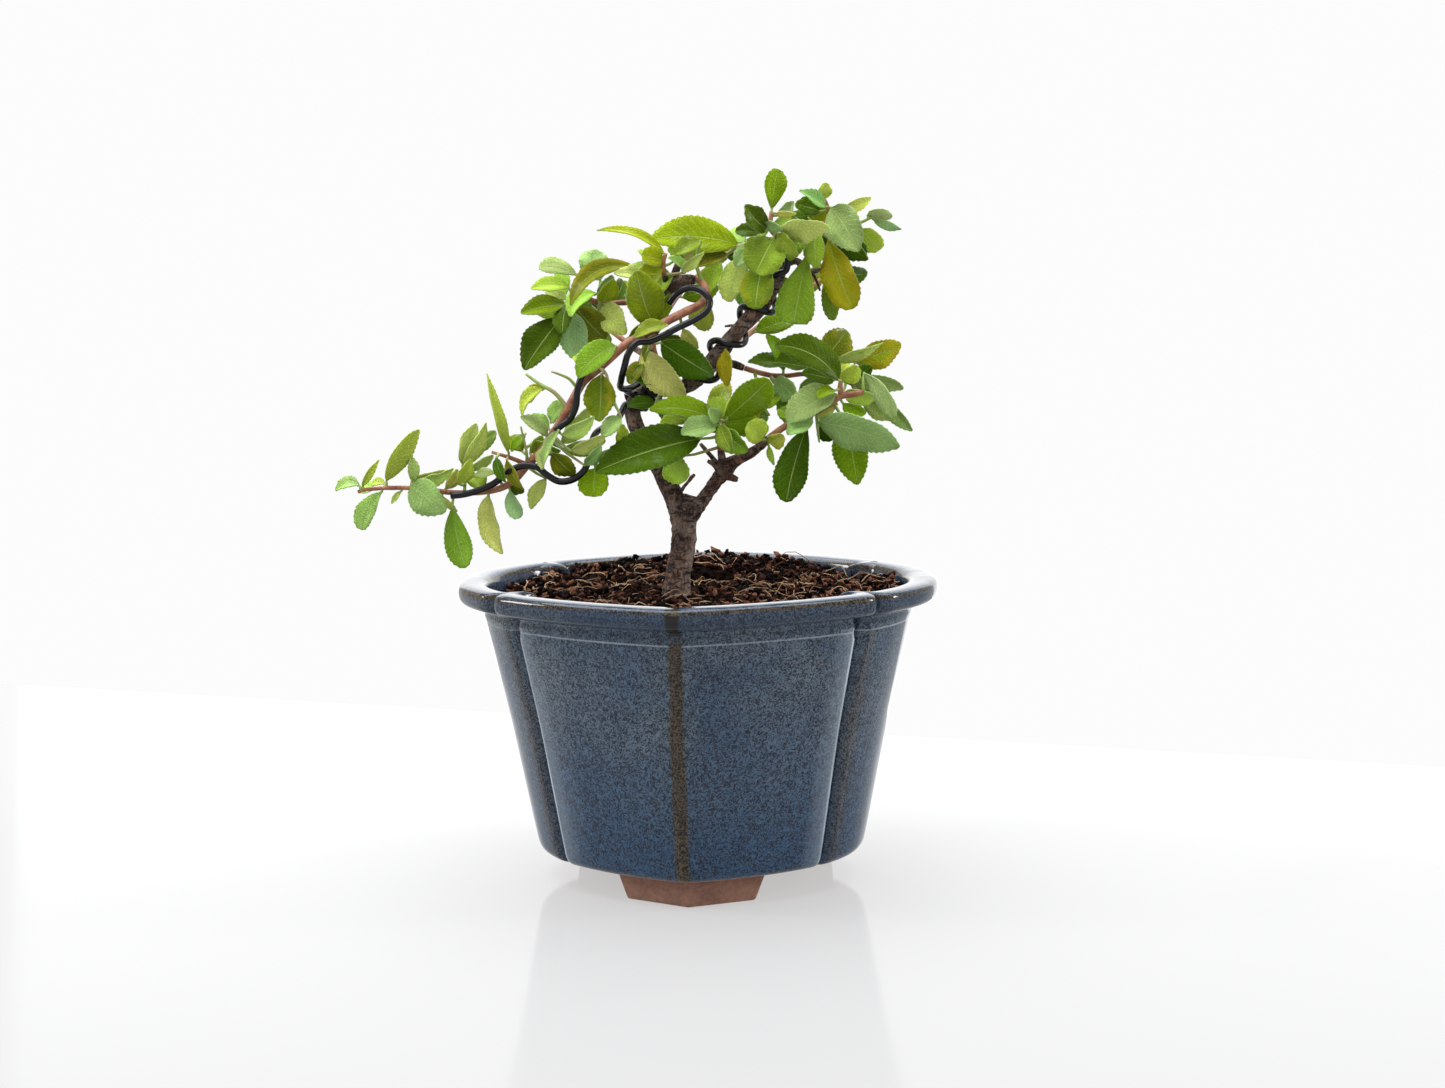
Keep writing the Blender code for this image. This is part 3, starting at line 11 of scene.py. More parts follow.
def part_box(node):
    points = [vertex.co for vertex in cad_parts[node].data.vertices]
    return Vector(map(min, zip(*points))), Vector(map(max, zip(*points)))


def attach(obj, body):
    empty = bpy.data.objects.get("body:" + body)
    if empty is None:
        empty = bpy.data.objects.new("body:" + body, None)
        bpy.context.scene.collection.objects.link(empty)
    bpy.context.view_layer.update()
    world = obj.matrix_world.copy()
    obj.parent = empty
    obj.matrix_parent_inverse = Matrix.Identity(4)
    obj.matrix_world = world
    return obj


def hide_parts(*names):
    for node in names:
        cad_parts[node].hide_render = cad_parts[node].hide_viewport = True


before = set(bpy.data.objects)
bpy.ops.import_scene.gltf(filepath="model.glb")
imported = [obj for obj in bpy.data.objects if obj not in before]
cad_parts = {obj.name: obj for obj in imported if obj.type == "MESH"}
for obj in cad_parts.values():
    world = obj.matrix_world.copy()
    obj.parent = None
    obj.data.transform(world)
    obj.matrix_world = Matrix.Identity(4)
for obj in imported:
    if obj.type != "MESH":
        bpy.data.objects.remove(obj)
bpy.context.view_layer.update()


# Camera: 0.7 m in front of the tree, at the height of its crown, looking a little down on to the soil.
# The tree stands turned a few degrees in its pot. All places, the eye's too, are in millimetres from STAND,
# which lies a little before the pot's middle and over the table by the height that the feet lift the pot.
MM = 0.001
POT_LOW, POT_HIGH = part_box("pot")
SOLE_DROP = 4.0
POT_BACK = 4.0
STAND = Vector((
    (POT_LOW.x + POT_HIGH.x) / 2.0,
    (POT_LOW.y + POT_HIGH.y) / 2.0 - POT_BACK * MM,
    SOLE_DROP * MM))
EYE = Vector((9.1, -700.0, 194.7))
TREE_TURN = math.radians(5.3)
EYE_PITCH = math.radians(6.94)
EYE_ROLL = math.radians(0.84)
FOCAL_PIXELS = 2100.0
PICTURE_WIDTH = 1445.0
SENSOR = 36.0
NEAREST_SEEN = 0.01

turned = Matrix.Rotation(TREE_TURN, 3, "Z")
level_right = Vector((1.0, 0.0, 0.0))
level_up = Vector((0.0, math.sin(EYE_PITCH), math.cos(EYE_PITCH)))
camera_right = turned @ (level_right * math.cos(EYE_ROLL) - level_up * math.sin(EYE_ROLL))
camera_up = turned @ (level_right * math.sin(EYE_ROLL) + level_up * math.cos(EYE_ROLL))
camera_data = bpy.data.cameras.new("photo_camera")
camera_data.sensor_width = SENSOR
camera_data.lens = FOCAL_PIXELS / PICTURE_WIDTH * SENSOR
camera_data.clip_start = NEAREST_SEEN
camera = bpy.data.objects.new("photo_camera", camera_data)
axes = Matrix((camera_right, camera_up, camera_right.cross(camera_up))).transposed()
camera.matrix_world = Matrix.Translation(turned @ EYE * MM + STAND) @ axes.to_4x4()
bpy.context.scene.collection.objects.link(camera)
bpy.context.scene.camera = camera
bpy.context.scene.view_settings.view_transform = "Standard"


# Table top: a pale, lightly polished stone slab with faint smoky patches, glowing a little under the lamps.
# Its far edge runs off to the right: two points on that edge are given in metres from the tree.
FAR_EDGE = (Vector((-0.123, 0.290, 0.0)), Vector((0.085, 0.217, 0.0)))
TABLE_HALF = 4.0


def feed(tree, node, feeds):
    """Join sockets to a node's inputs, or set plain values there."""
    for socket, value in feeds.items():
        if isinstance(value, bpy.types.NodeSocket):
            tree.links.new(value, node.inputs[socket])
        else:
            node.inputs[socket].default_value = value


def put(tree, kind, feeds, **settings):
    """Add a shader node with its settings and what feeds it."""
    made = tree.nodes.new(kind)
    for name, value in settings.items():
        setattr(made, name, value)
    feed(tree, made, feeds)
    return made


def new_surface(name):
    """A new surface: the material, its node tree, its shader and its Object coordinates."""
    material = bpy.data.materials.new(name)
    material.use_nodes = True
    tree = material.node_tree
    place = tree.nodes.new("ShaderNodeTexCoord").outputs["Object"]
    return material, tree, tree.nodes["Principled BSDF"], place


# Cloudy patches of any size, shared by every surface: 0 to 1 over the surface.
PATCH_KNOBS = ("Scale", "Detail", "Warp", "Low", "High")
patches = bpy.data.node_groups.new("Patches", "ShaderNodeTree")
patches.interface.new_socket("Place", in_out="INPUT", socket_type="NodeSocketVector")
for knob in PATCH_KNOBS:
    patches.interface.new_socket(knob, in_out="INPUT", socket_type="NodeSocketFloat")
patches.interface.new_socket("Share", in_out="OUTPUT", socket_type="NodeSocketFloat")
given = patches.nodes.new("NodeGroupInput").outputs
cloud = put(patches, "ShaderNodeTexNoise", {
    "Vector": given["Place"],
    "Scale": given["Scale"],
    "Detail": given["Detail"],
    "Distortion": given["Warp"],
})
spread = put(patches, "ShaderNodeMapRange", {
    "Value": cloud.outputs["Fac"], "From Min": given["Low"], "From Max": given["High"]})
put(patches, "NodeGroupOutput", {"Share": spread.outputs["Result"]})


def patchy(tree, place, scale, detail=3.0, warp=0.0, low=0.35, high=0.65):
    """The patches group placed in a material."""
    knobs = dict(zip(PATCH_KNOBS, (scale, detail, warp, low, high)))
    return put(tree, "ShaderNodeGroup", {"Place": place, **knobs}, node_tree=patches).outputs["Share"]


def mixed(tree, share, first, second):
    """A colour between two others."""
    mix = put(tree, "ShaderNodeMix", {"Factor": share}, data_type="RGBA")
    for socket, value in ((6, first), (7, second)):
        feed(tree, mix, {socket: value if isinstance(value, bpy.types.NodeSocket) else (*value, 1.0)})
    return mix.outputs[2]


def sums(tree, operation, *values):
    """Arithmetic on masks and numbers."""
    return put(tree, "ShaderNodeMath", dict(enumerate(values)), operation=operation).outputs[0]


def scaled(tree, value, factor):
    """A mask made weaker."""
    return sums(tree, "MULTIPLY", value, factor)


def ramp(tree, value, low, high, start=0.0, end=1.0):
    """A number that runs from start to end while a value runs from low to high."""
    return put(tree, "ShaderNodeMapRange", {
        "Value": value, "From Min": low, "From Max": high, "To Min": start, "To Max": end}).outputs["Result"]


table_paint, tree, shader, place = new_surface("pale_table_top")
smoky = patchy(tree, place, 7.0, 5.0, 0.8, 0.62, 0.78)
feed(tree, shader, {
    "Base Color": mixed(tree, scaled(tree, smoky, 0.12), (0.150, 0.152, 0.153), (0.100, 0.100, 0.103)),
    "Roughness": ramp(tree, smoky, 0.0, 1.0, 0.10, 0.20),
    "Specular IOR Level": 0.03,
    "Emission Color": (1.0, 1.0, 1.0, 1.0),
    "Emission Strength": 0.49,
})
edge_run = turned @ (FAR_EDGE[1] - FAR_EDGE[0])
edge_turn = Matrix.Rotation(math.atan2(edge_run.y, edge_run.x), 3, "Z")
bm = bmesh.new()
bmesh.ops.create_grid(bm, x_segments=4, y_segments=4, size=TABLE_HALF)
bmesh.ops.translate(bm, vec=(0.0, -TABLE_HALF, 0.0), verts=bm.verts)
bmesh.ops.rotate(bm, cent=(0.0, 0.0, 0.0), matrix=edge_turn, verts=bm.verts)
bmesh.ops.translate(bm, vec=turned @ FAR_EDGE[0] + Vector((STAND.x, STAND.y, 0.0)), verts=bm.verts)
mesh = bpy.data.meshes.new("table_top")
bm.to_mesh(mesh)
bm.free()
mesh.materials.append(table_paint)
table_top = bpy.data.objects.new("table_top", mesh)
bpy.context.scene.collection.objects.link(table_top)


# Room and lamps: white walls, a broad softbox overhead, a lit wall behind and a window on each side.
# The walls look a little brighter than the light that they give.
WALL_LIGHT = 0.8
WALL_SEEN = 0.975
LAMP_AIM = Vector((0.0, 0.0, 0.12))
# Place and width in metres, and power in watts.
LAMPS = {
    "overhead_softbox": ((-0.15, 0.1, 1.3), 1.6, 35.0),
    "white_wall": ((0.0, 1.7, 0.5), 2.0, 14.0),
    "window_left": ((-1.3, -0.1, 0.7), 0.3, 7.0),
    "window_right": ((1.35, 0.1, 0.6), 0.3, 8.0),
}
room = bpy.data.worlds.new("white_room")
room.use_nodes = True
walls = room.node_tree.nodes["Background"]
feed(room.node_tree, walls, {"Color": (1.0, 1.0, 1.0, 1.0), "Strength": WALL_LIGHT})
bright = put(room.node_tree, "ShaderNodeBackground", {"Color": (1.0, 1.0, 1.0, 1.0), "Strength": WALL_SEEN})
seen = put(room.node_tree, "ShaderNodeLightPath", {}).outputs["Is Camera Ray"]
both = put(room.node_tree, "ShaderNodeMixShader", {0: seen, 1: walls.outputs[0], 2: bright.outputs[0]})
feed(room.node_tree, room.node_tree.nodes["World Output"], {"Surface": both.outputs[0]})
bpy.context.scene.world = room
for name, (spot, width, power) in LAMPS.items():
    lamp_data = bpy.data.lights.new(name, "AREA")
    lamp_data.size = width
    lamp_data.energy = power
    lamp = bpy.data.objects.new(name, lamp_data)
    lamp.visible_camera = False
    aim = LAMP_AIM - Vector(spot)
    lamp.matrix_world = Matrix.Translation(spot) @ aim.to_track_quat("-Z", "Y").to_matrix().to_4x4()
    bpy.context.scene.collection.objects.link(lamp)


# Pot: stoneware with four lobes, pressed in a mould, with a rolled lip and a drainage hole in its floor.
# Its glaze is mottled blue over brown, and breaks to brown where it runs thin: on the lip's edge, on the
# front and back ridges and beside the grooves. Its base stays bare, and it stands on three feet.
RIM_HALF_WIDTH = 81.2
RIM_HALF_DEPTH = 75.0
GROOVE_SIDE = Vector((64.9, 39.6))
GROOVE_FLOOR = Vector((58.6, 37.8))
GROOVE_FRONT = Vector((62.6, 42.6))
SIDE_PANEL = (0.0, 0.12, 0.35, 0.6, 0.86)
FRONT_PANEL = (0.12, 0.30, 0.5, 0.75, 0.955)
SIDE_BULGE = 4.6
FRONT_BULGE = 4.0
CORNER_CUTS = (0.25, 0.75)
DRAIN_RADIUS = 9.0
DRAIN_LIP = 0.6
POT_BASE_Z = 5.0
FLOOR_Z = 12.5
# The profile: share of the rim's plan, and height.
POT_OUTSIDE = (
    (0.600, 5.0), (0.655, 5.4), (0.682, 7.2), (0.693, 10.5), (0.742, 31.0), (0.792, 52.0), (0.840, 68.5),
    (0.890, 85.8), (0.8935, 87.2), (0.8895, 88.2), (0.889, 89.2), (0.900, 90.1), (0.935, 90.5), (0.975, 91.2),
    (0.995, 92.4), (1.000, 94.4), (0.998, 96.2), (0.990, 97.4), (0.968, 98.0), (0.935, 98.05),
)
POT_INSIDE = (
    (0.900, 97.9), (0.878, 97.0), (0.868, 95.0), (0.846, 87.0), (0.738, 50.0), (0.642, 16.0), (0.610, 12.5),
)
# The wall's and the lip's share of the rim's plan, near enough to find the grooves on them.
LIP_START_Z = 86.0
LIP_SHARE = 0.9
BASE_SHARE = 0.68
WALL_FLARE = 0.0024
# The four cusps that the lip bends inwards over the grooves.
CUSP_START_Z = 84.0
CUSP_SHARE = 0.88
CUSP_WIDEST = 0.78
CUSP_PUSH = 0.07
CUSP_REACH = 10.0
# Where the glaze is thin: on the lip's edge and in a streak beside each groove on the end lobes. A painted
# highlight runs as a sharp pale line along the wide panels' corners, with a soft painted glow beside it.
# Below the glaze line the clay is bare.
THIN_EDGE_Z = 96.6
THIN_EDGE_SPREAD = 0.8
OUTER_HALF = 0.5
STREAK_OFF = 7.0
STREAK_SPREAD = 3.4
HIGHLIGHT_LINE_WIDTH = 1.2
HIGHLIGHT_GLOW_WIDTH = 9.0
HIGHLIGHT_TOP_Z = 87.0
GLAZE_LINE_Z = 5.9
# Levels in the glaze: where it turns greyer, the ridge's stripe ends, the lip's face starts and it darkens.
GREY_LEVELS = (16.0, 91.0)
STRIPE_END = (85.9, 87.9)
LIP_FACE = (87.9, 88.9)
LIP_POOL = (89.9, 91.9)
# The ledge under the lip, and the half widths over which a thin painted highlight line along it fades.
LEDGE_Z = 85.3
LEDGE_HIGHLIGHT_FADE = (0.1, 0.4)
# The ridge's stripe: its half widths and how far it wanders.
STRIPE_HALF = (1.7, 2.8)
STRIPE_WANDER = 1.2


def bowed(start, end, bulge, shares):
    """Points between start and end on a panel that bulges outwards."""
    outward = Vector((end.y - start.y, start.x - end.x)).normalized()
    if outward.dot(start + end) < 0.0:
        outward.negate()
    return [start.lerp(end, share) + outward * 4.0 * bulge * share * (1.0 - share) for share in shares]


def softened(outline):
    """A closed outline with its corners cut, for a glaze that rounds them."""
    ahead = outline[1:] + outline[:1]
    return [point.lerp(after, cut) for point, after in zip(outline, ahead) for cut in CORNER_CUTS]


def rim_plan():
    """The rim's outline once round, anticlockwise from the right-hand lobe's ridge."""
    side_ridge = Vector((RIM_HALF_WIDTH, 0.0))
    front_ridge = Vector((0.0, RIM_HALF_DEPTH))
    quarter = bowed(side_ridge, GROOVE_SIDE, SIDE_BULGE, SIDE_PANEL)
    quarter += [GROOVE_SIDE, GROOVE_FLOOR, GROOVE_FRONT]
    quarter += bowed(GROOVE_FRONT, front_ridge, FRONT_BULGE, FRONT_PANEL)
    left_half = [Vector((-point.x, point.y)) for point in reversed(quarter[1:])]
    upper = quarter + [front_ridge] + left_half + [-side_ridge]
    lower = [Vector((point.x, -point.y)) for point in reversed(upper[1:-1])]
    return softened(softened(upper + lower))


RIM_PLAN = rim_plan()


def plan_ring(share, height):
    """The rim's outline at a share of its size, at a height."""
    return [Vector((point.x * share, point.y * share + POT_BACK, height)) for point in RIM_PLAN]


def round_ring(radius, height):
    """A circle with as many points as the rim's outline, in the same directions."""
    middle = Vector((0.0, POT_BACK))
    return [Vector((*(point.normalized() * radius + middle), height)) for point in RIM_PLAN]


def skin(bm, rings, closed):
    """A grid rolled up so that it passes through rings of points; closed joins the last ring to the first."""
    rings = rings + rings[:1] if closed else rings
    around = len(rings[0])
    made = bmesh.ops.create_grid(bm, x_segments=len(rings) - 1, y_segments=around, size=1.0)["verts"]
    for vert in made:
        along = round((vert.co.x + 1.0) / 2.0 * (len(rings) - 1))
        turn = round((vert.co.y + 1.0) / 2.0 * around) % around
        vert.co = rings[along][turn]
    bmesh.ops.remove_doubles(bm, verts=made, dist=0.0001)
    bmesh.ops.recalc_face_normals(bm, faces=bm.faces)


def smooth_profile(rings):
    """Rings once round the profile, with two for each one, which round its corners."""
    ahead = rings[1:] + rings[:1]
    return [[point.lerp(further, cut) for point, further in zip(ring, after)]
            for ring, after in zip(rings, ahead) for cut in CORNER_CUTS]


bm = bmesh.new()
pot_rings = [plan_ring(*step) for step in POT_OUTSIDE + POT_INSIDE]
drain_steps = (
    (DRAIN_RADIUS + DRAIN_LIP, FLOOR_Z), (DRAIN_RADIUS, FLOOR_Z - DRAIN_LIP),
    (DRAIN_RADIUS, POT_BASE_Z + DRAIN_LIP), (DRAIN_RADIUS + DRAIN_LIP, POT_BASE_Z))
pot_rings += [round_ring(*step) for step in drain_steps]
skin(bm, smooth_profile(smooth_profile(pot_rings)), True)
thin_glaze_and_highlight_layer = bm.verts.layers.float_color.new("thin_glaze_and_highlight")
quarters = [(left, front) for left in (-1, 1) for front in (-1, 1)]
grooves = [Vector((GROOVE_FLOOR.x * left, GROOVE_FLOOR.y * front)) for left, front in quarters]
# The wide panels' corners, along which the painted highlight lines run.
corners = [Vector((GROOVE_FRONT.x * left, GROOVE_FRONT.y * front)) for left, front in quarters]
corners = [min(RIM_PLAN, key=lambda point: (point - corner).length).normalized() for corner in corners]
for vert in bm.verts:
    height = vert.co.z
    spot = vert.co.xy - Vector((0.0, POT_BACK))
    on_wall = height < LIP_START_Z
    wall = BASE_SHARE + WALL_FLARE * height if height <= LIP_START_Z else LIP_SHARE
    widest = max(abs(spot.x) / RIM_HALF_WIDTH, abs(spot.y) / RIM_HALF_DEPTH)
    beside = min((spot / wall - groove).length for groove in grooves)
    push = max(1.0 - (spot / CUSP_SHARE - groove).length / CUSP_REACH for groove in grooves)
    if height > CUSP_START_Z and push > 0.0 and widest < CUSP_WIDEST:
        vert.co.xy -= spot * CUSP_PUSH * push * push
    on_edge = math.exp(-((height - THIN_EDGE_Z) / THIN_EDGE_SPREAD) ** 2) if widest > OUTER_HALF else 0.0
    on_lobe = on_wall and abs(spot.y) / wall < GROOVE_SIDE.y - 1.0
    streak = math.exp(-((beside - STREAK_OFF) / STREAK_SPREAD) ** 2) if on_lobe else 0.0
    bare = 1.0 if height < GLAZE_LINE_Z else 0.0
    # The fourth channel is a painted highlight: a sharp pale line on each wide panel's corner, with a wide
    # glow over the panel.
    corner_highlight = 0.0
    for corner in corners:
        if spot.dot(corner) > 0.0 and height < HIGHLIGHT_TOP_Z:
            aside = abs(spot.x * corner.y) - abs(spot.y * corner.x)
            corner_highlight = max(corner_highlight, 1.0 - (aside / HIGHLIGHT_LINE_WIDTH if aside > 0.0 else -aside / HIGHLIGHT_GLOW_WIDTH))
    vert[thin_glaze_and_highlight_layer] = (on_edge, streak, bare, corner_highlight)


def level(tree, height, band, start=0.0, end=1.0):
    """A number that runs from start to end over a band of heights, in millimetres over STAND."""
    return ramp(tree, height, STAND.z + band[0] * MM, STAND.z + band[1] * MM, start, end)


def roughen(tree, shader, height, strength, distance):
    """Relief on a shader from a height that changes over the surface."""
    bump = put(tree, "ShaderNodeBump", {"Height": height, "Strength": strength, "Distance": distance})
    feed(tree, shader, {"Normal": bump.outputs["Normal"]})


def link_piece(name, mesh, surfaces, slot, *nodes):
    """Hang a finished mesh in the scene as a piece of the object, in place of its CAD nodes."""
    for surface in surfaces:
        mesh.materials.append(surface)
    mesh.polygons.foreach_set("use_smooth", [True] * len(mesh.polygons))
    piece = bpy.data.objects.new(name, mesh)
    bpy.context.scene.collection.objects.link(piece)
    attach(piece, "root")
    if nodes:
        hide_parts(*nodes)
    return piece


def finish_piece(name, bm, surfaces, slot, *nodes):
    """Turn a bmesh, in millimetres from STAND, into a piece of the object."""
    bmesh.ops.scale(bm, vec=(MM, MM, MM), verts=bm.verts)
    bmesh.ops.translate(bm, vec=STAND, verts=bm.verts)
    mesh = bpy.data.meshes.new(name)
    bm.to_mesh(mesh)
    bm.free()
    return link_piece(name, mesh, surfaces, slot, *nodes)


glaze, tree, shader, place = new_surface("mottled_blue_glaze")
painted = put(tree, "ShaderNodeAttribute", {}, attribute_name="thin_glaze_and_highlight").outputs
on_edge, streak, bare = put(tree, "ShaderNodeSeparateColor", {"Color": painted["Color"]}).outputs
across, back, up = put(tree, "ShaderNodeSeparateXYZ", {"Vector": place}).outputs
speckle = patchy(tree, place, 700.0, 2.0, 2.6, 0.44, 0.57)
drift = patchy(tree, place, 28.0, 4.0, 0.6, 0.34, 0.68)
fine = patchy(tree, place, 1900.0, 2.0, 0.4, 0.40, 0.66)
blue = mixed(tree, speckle, (0.0005, 0.004, 0.018), (0.024, 0.072, 0.150))
grey = mixed(tree, speckle, (0.002, 0.008, 0.022), (0.180, 0.205, 0.205))
brown = mixed(tree, speckle, (0.004, 0.003, 0.002), (0.080, 0.058, 0.038))
high_up = level(tree, up, GREY_LEVELS)
grey_share = sums(tree, "MULTIPLY_ADD", drift, high_up, scaled(tree, high_up, 0.35))
body = mixed(tree, scaled(tree, grey_share, 0.62), blue, grey)
flecked = mixed(tree, scaled(tree, fine, 0.20), body, (0.11, 0.13, 0.14))
pooled = mixed(tree, scaled(tree, level(tree, up, LIP_POOL), 0.55), flecked, (0.004, 0.014, 0.038))
from_ridge = sums(tree, "SUBTRACT", across, STAND.x)
wavy = sums(tree, "MULTIPLY_ADD", drift, STRIPE_WANDER * MM, from_ridge)
on_ridge = ramp(tree, sums(tree, "ABSOLUTE", wavy), STRIPE_HALF[0] * MM, STRIPE_HALF[1] * MM, 1.0, 0.0)
stripe = sums(tree, "MULTIPLY", on_ridge, level(tree, up, STRIPE_END, 1.0, 0.0))
ridge_end = sums(tree, "MULTIPLY", on_ridge, level(tree, up, LIP_FACE))
worn_edge = ramp(tree, sums(tree, "MULTIPLY_ADD", drift, 0.6, on_edge), 0.75, 1.05)
broken = sums(tree, "MAXIMUM", scaled(tree, streak, 0.6), stripe)
broken = sums(tree, "MAXIMUM", broken, worn_edge)
# Painted highlights: a thin pale line along the ledge under the lip, and the pale lines on the panels'
# corners with the glow beside them, all broken up by the drift.
ledge = sums(tree, "ABSOLUTE", sums(tree, "SUBTRACT", up, STAND.z + LEDGE_Z * MM))
ledge_highlight = ramp(tree, ledge, LEDGE_HIGHLIGHT_FADE[0] * MM, LEDGE_HIGHLIGHT_FADE[1] * MM, 0.30, 0.0)
painted_highlight = sums(tree, "MAXIMUM", ledge_highlight, ramp(tree, painted["Alpha"], 0.80, 0.92))
broken_highlight = sums(tree, "MULTIPLY", painted_highlight, ramp(tree, drift, 0.0, 1.0, 1.0, 0.15))
darkened = mixed(tree, scaled(tree, ridge_end, 0.95), pooled, (0.006, 0.004, 0.003))
highlight_glow = mixed(tree, scaled(tree, painted["Alpha"], 0.34), darkened, (0.36, 0.42, 0.48))
highlighted = mixed(tree, broken_highlight, highlight_glow, (0.74, 0.80, 0.86))
coloured = mixed(tree, broken, highlighted, brown)
feed(tree, shader, {
    "Base Color": mixed(tree, bare, coloured, (0.33, 0.19, 0.13)),
    "Roughness": ramp(tree, bare, 0.0, 1.0, 0.10, 0.85),
    "Specular IOR Level": 0.32,
})
roughen(tree, shader, drift, 0.25, 0.0006)
finish_piece("glazed_pot", bm, [glaze], "glaze", "pot")


# Feet: three low brackets of the same clay, stuck on before firing and left bare of glaze.
# One stands under the front ridge and two, shorter, at the rear. Each is bent to follow the pot's wall.
# Half length at the top and at the sole, how far out the middle lies, and how fast the ends run back.
FRONT_FOOT = (25.0, 21.0, 44.6, 0.454)
REAR_FOOT = (15.0, 12.0, 47.0, 0.22)
FOOT_DEPTH = 10.0
FOOT_TOP_Z = 6.4
FOOT_TURN = math.radians(120.0)
FOOT_BEVEL = 0.7


def foot_ring(half_length, outer, slope, height):
    """A foot's outline on the front side, bent back from its middle."""
    near = slope * half_length - outer
    corners = ((half_length, near), (0.0, -outer), (-half_length, near),
               (-half_length, near + FOOT_DEPTH), (0.0, FOOT_DEPTH - outer), (half_length, near + FOOT_DEPTH))
    return [Vector((x, y, height)) for x, y in corners]


bm = bmesh.new()
for turn, shape in ((0.0, FRONT_FOOT), (FOOT_TURN, REAR_FOOT), (-FOOT_TURN, REAR_FOOT)):
    top_half, sole_half, outer, slope = shape
    foot = bmesh.new()
    sole = foot_ring(sole_half, outer, slope, -SOLE_DROP)
    top = foot_ring(top_half, outer, slope, FOOT_TOP_Z)
    skin(foot, [sole, top], False)
    bmesh.ops.holes_fill(foot, edges=foot.edges, sides=0)
    bmesh.ops.bevel(
        foot, geom=foot.edges, offset=FOOT_BEVEL, segments=2, affect="EDGES", profile=0.5, material=-1)
    bmesh.ops.rotate(foot, cent=(0.0, 0.0, 0.0), matrix=Matrix.Rotation(turn, 3, "Z"), verts=foot.verts)
    bmesh.ops.translate(foot, vec=(0.0, POT_BACK, 0.0), verts=foot.verts)
    bmesh.ops.recalc_face_normals(foot, faces=foot.faces)
    mesh = bpy.data.meshes.new("foot")
    foot.to_mesh(mesh)
    foot.free()
    bm.from_mesh(mesh)
    bpy.data.meshes.remove(mesh)

clay, tree, shader, place = new_surface("bare_red_clay")
grit = patchy(tree, place, 700.0, 4.0, 0.3, 0.35, 0.70)
stain = patchy(tree, place, 60.0, 3.0, 0.5, 0.40, 0.70)
# The feet's clay is painted darker than the same bare clay on the pot's base, as the shade under the pot; the
# stains vary it.
stained_and_shaded_clay = mixed(tree, stain, (0.25, 0.120, 0.080), (0.16, 0.075, 0.052))
feed(tree, shader, {
    "Base Color": mixed(tree, scaled(tree, grit, 0.35), stained_and_shaded_clay, (0.36, 0.21, 0.15)),
    "Roughness": 0.85,
})
roughen(tree, shader, grit, 0.5, 0.0003)
finish_piece("clay_feet", bm, [clay], "glaze")


# Drainage mesh: a square of black plastic net over the hole in the pot's floor.
# It is moulded in one piece and lies loose under the soil.
net_plastic, tree, shader, place = new_surface("black_net_plastic")
worn = patchy(tree, place, 300.0)
feed(tree, shader, {
    "Base Color": mixed(tree, worn, (0.012, 0.012, 0.013), (0.040, 0.040, 0.042)),
    "Roughness": 0.5,
})
roughen(tree, shader, worn, 0.3, 0.0002)
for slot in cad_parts["drain_mesh"].material_slots:
    slot.material = net_plastic


# Soil: dark potting mix of bark and coir, pressed down by hand and heaped towards the back.
# It has a hole where the trunk stands, a hollow behind the trunk and a low corner at the back right.
SOIL_RINGS = 44
SOIL_SHRINK = 0.994
SOIL_EDGE_Z = 87.5
SOIL_WALL_LEVELS = (14.4, 16.0, 50.0, SOIL_EDGE_Z)
SOIL_FRONT_Z = 92.6
SOIL_BACK_RISE = 5.2
SOIL_LEFT_FALL = 3.4
SOIL_RIGHT_RISE = 1.6
SOIL_LUMP = 1.5
SOIL_RIM_RISE = 7.0
HOLLOW_SPOT = Vector((-0.5, 36.0))
HOLLOW_DEPTH = 7.5
HOLLOW_SPREAD = 14.0
CORNER_SPOT = Vector((56.0, 46.0))
CORNER_DEPTH = 6.0
CORNER_SPREAD = 17.0
TRUNK_FOOT = (-7.6, 67.5, -11.0)
HOLE_RADIUS = 5.4
HOLE_FLOOR_Z = 69.2


def from_front(across, up, back):
    """A point seen from the front at (across, up) on the plane through the pot's axis, slid to its depth."""
    share = (back - EYE.y) / -EYE.y
    return turned @ (EYE + (Vector((across, 0.0, up)) - EYE) * share)


def soil_height(x, y):
    """The soil's surface: heaped at the back and right, low in the left lobe, hollow behind the trunk."""
    back = max(0.0, y) / RIM_HALF_DEPTH
    right = x / RIM_HALF_WIDTH
    slope = SOIL_RIGHT_RISE if right > 0.0 else -SOIL_LEFT_FALL
    height = SOIL_FRONT_Z + SOIL_BACK_RISE * back + slope * right * right
    height -= HOLLOW_DEPTH * math.exp(-((Vector((x, y)) - HOLLOW_SPOT).length / HOLLOW_SPREAD) ** 2)
    height -= CORNER_DEPTH * math.exp(-((Vector((x, y)) - CORNER_SPOT).length / CORNER_SPREAD) ** 2)
    spot = Vector((x, y, 0.0))
    coarse = noise.noise(spot * 0.11) + 0.6 * noise.noise(spot * 0.26 + Vector((0.0, 0.0, 7.0)))
    fine = noise.noise(spot * 0.7) * 0.7 + noise.noise(spot * 1.6) * 0.35
    return height + SOIL_LUMP * coarse + fine


def inner_share(height):
    """Share of the rim's plan that the pot's inner wall has at a height."""
    for (upper_share, upper_z), (lower_share, lower_z) in zip(POT_INSIDE[1:], POT_INSIDE[2:]):
        if height >= lower_z:
            return lower_share + (upper_share - lower_share) * (height - lower_z) / (upper_z - lower_z)
    return POT_INSIDE[-1][0]


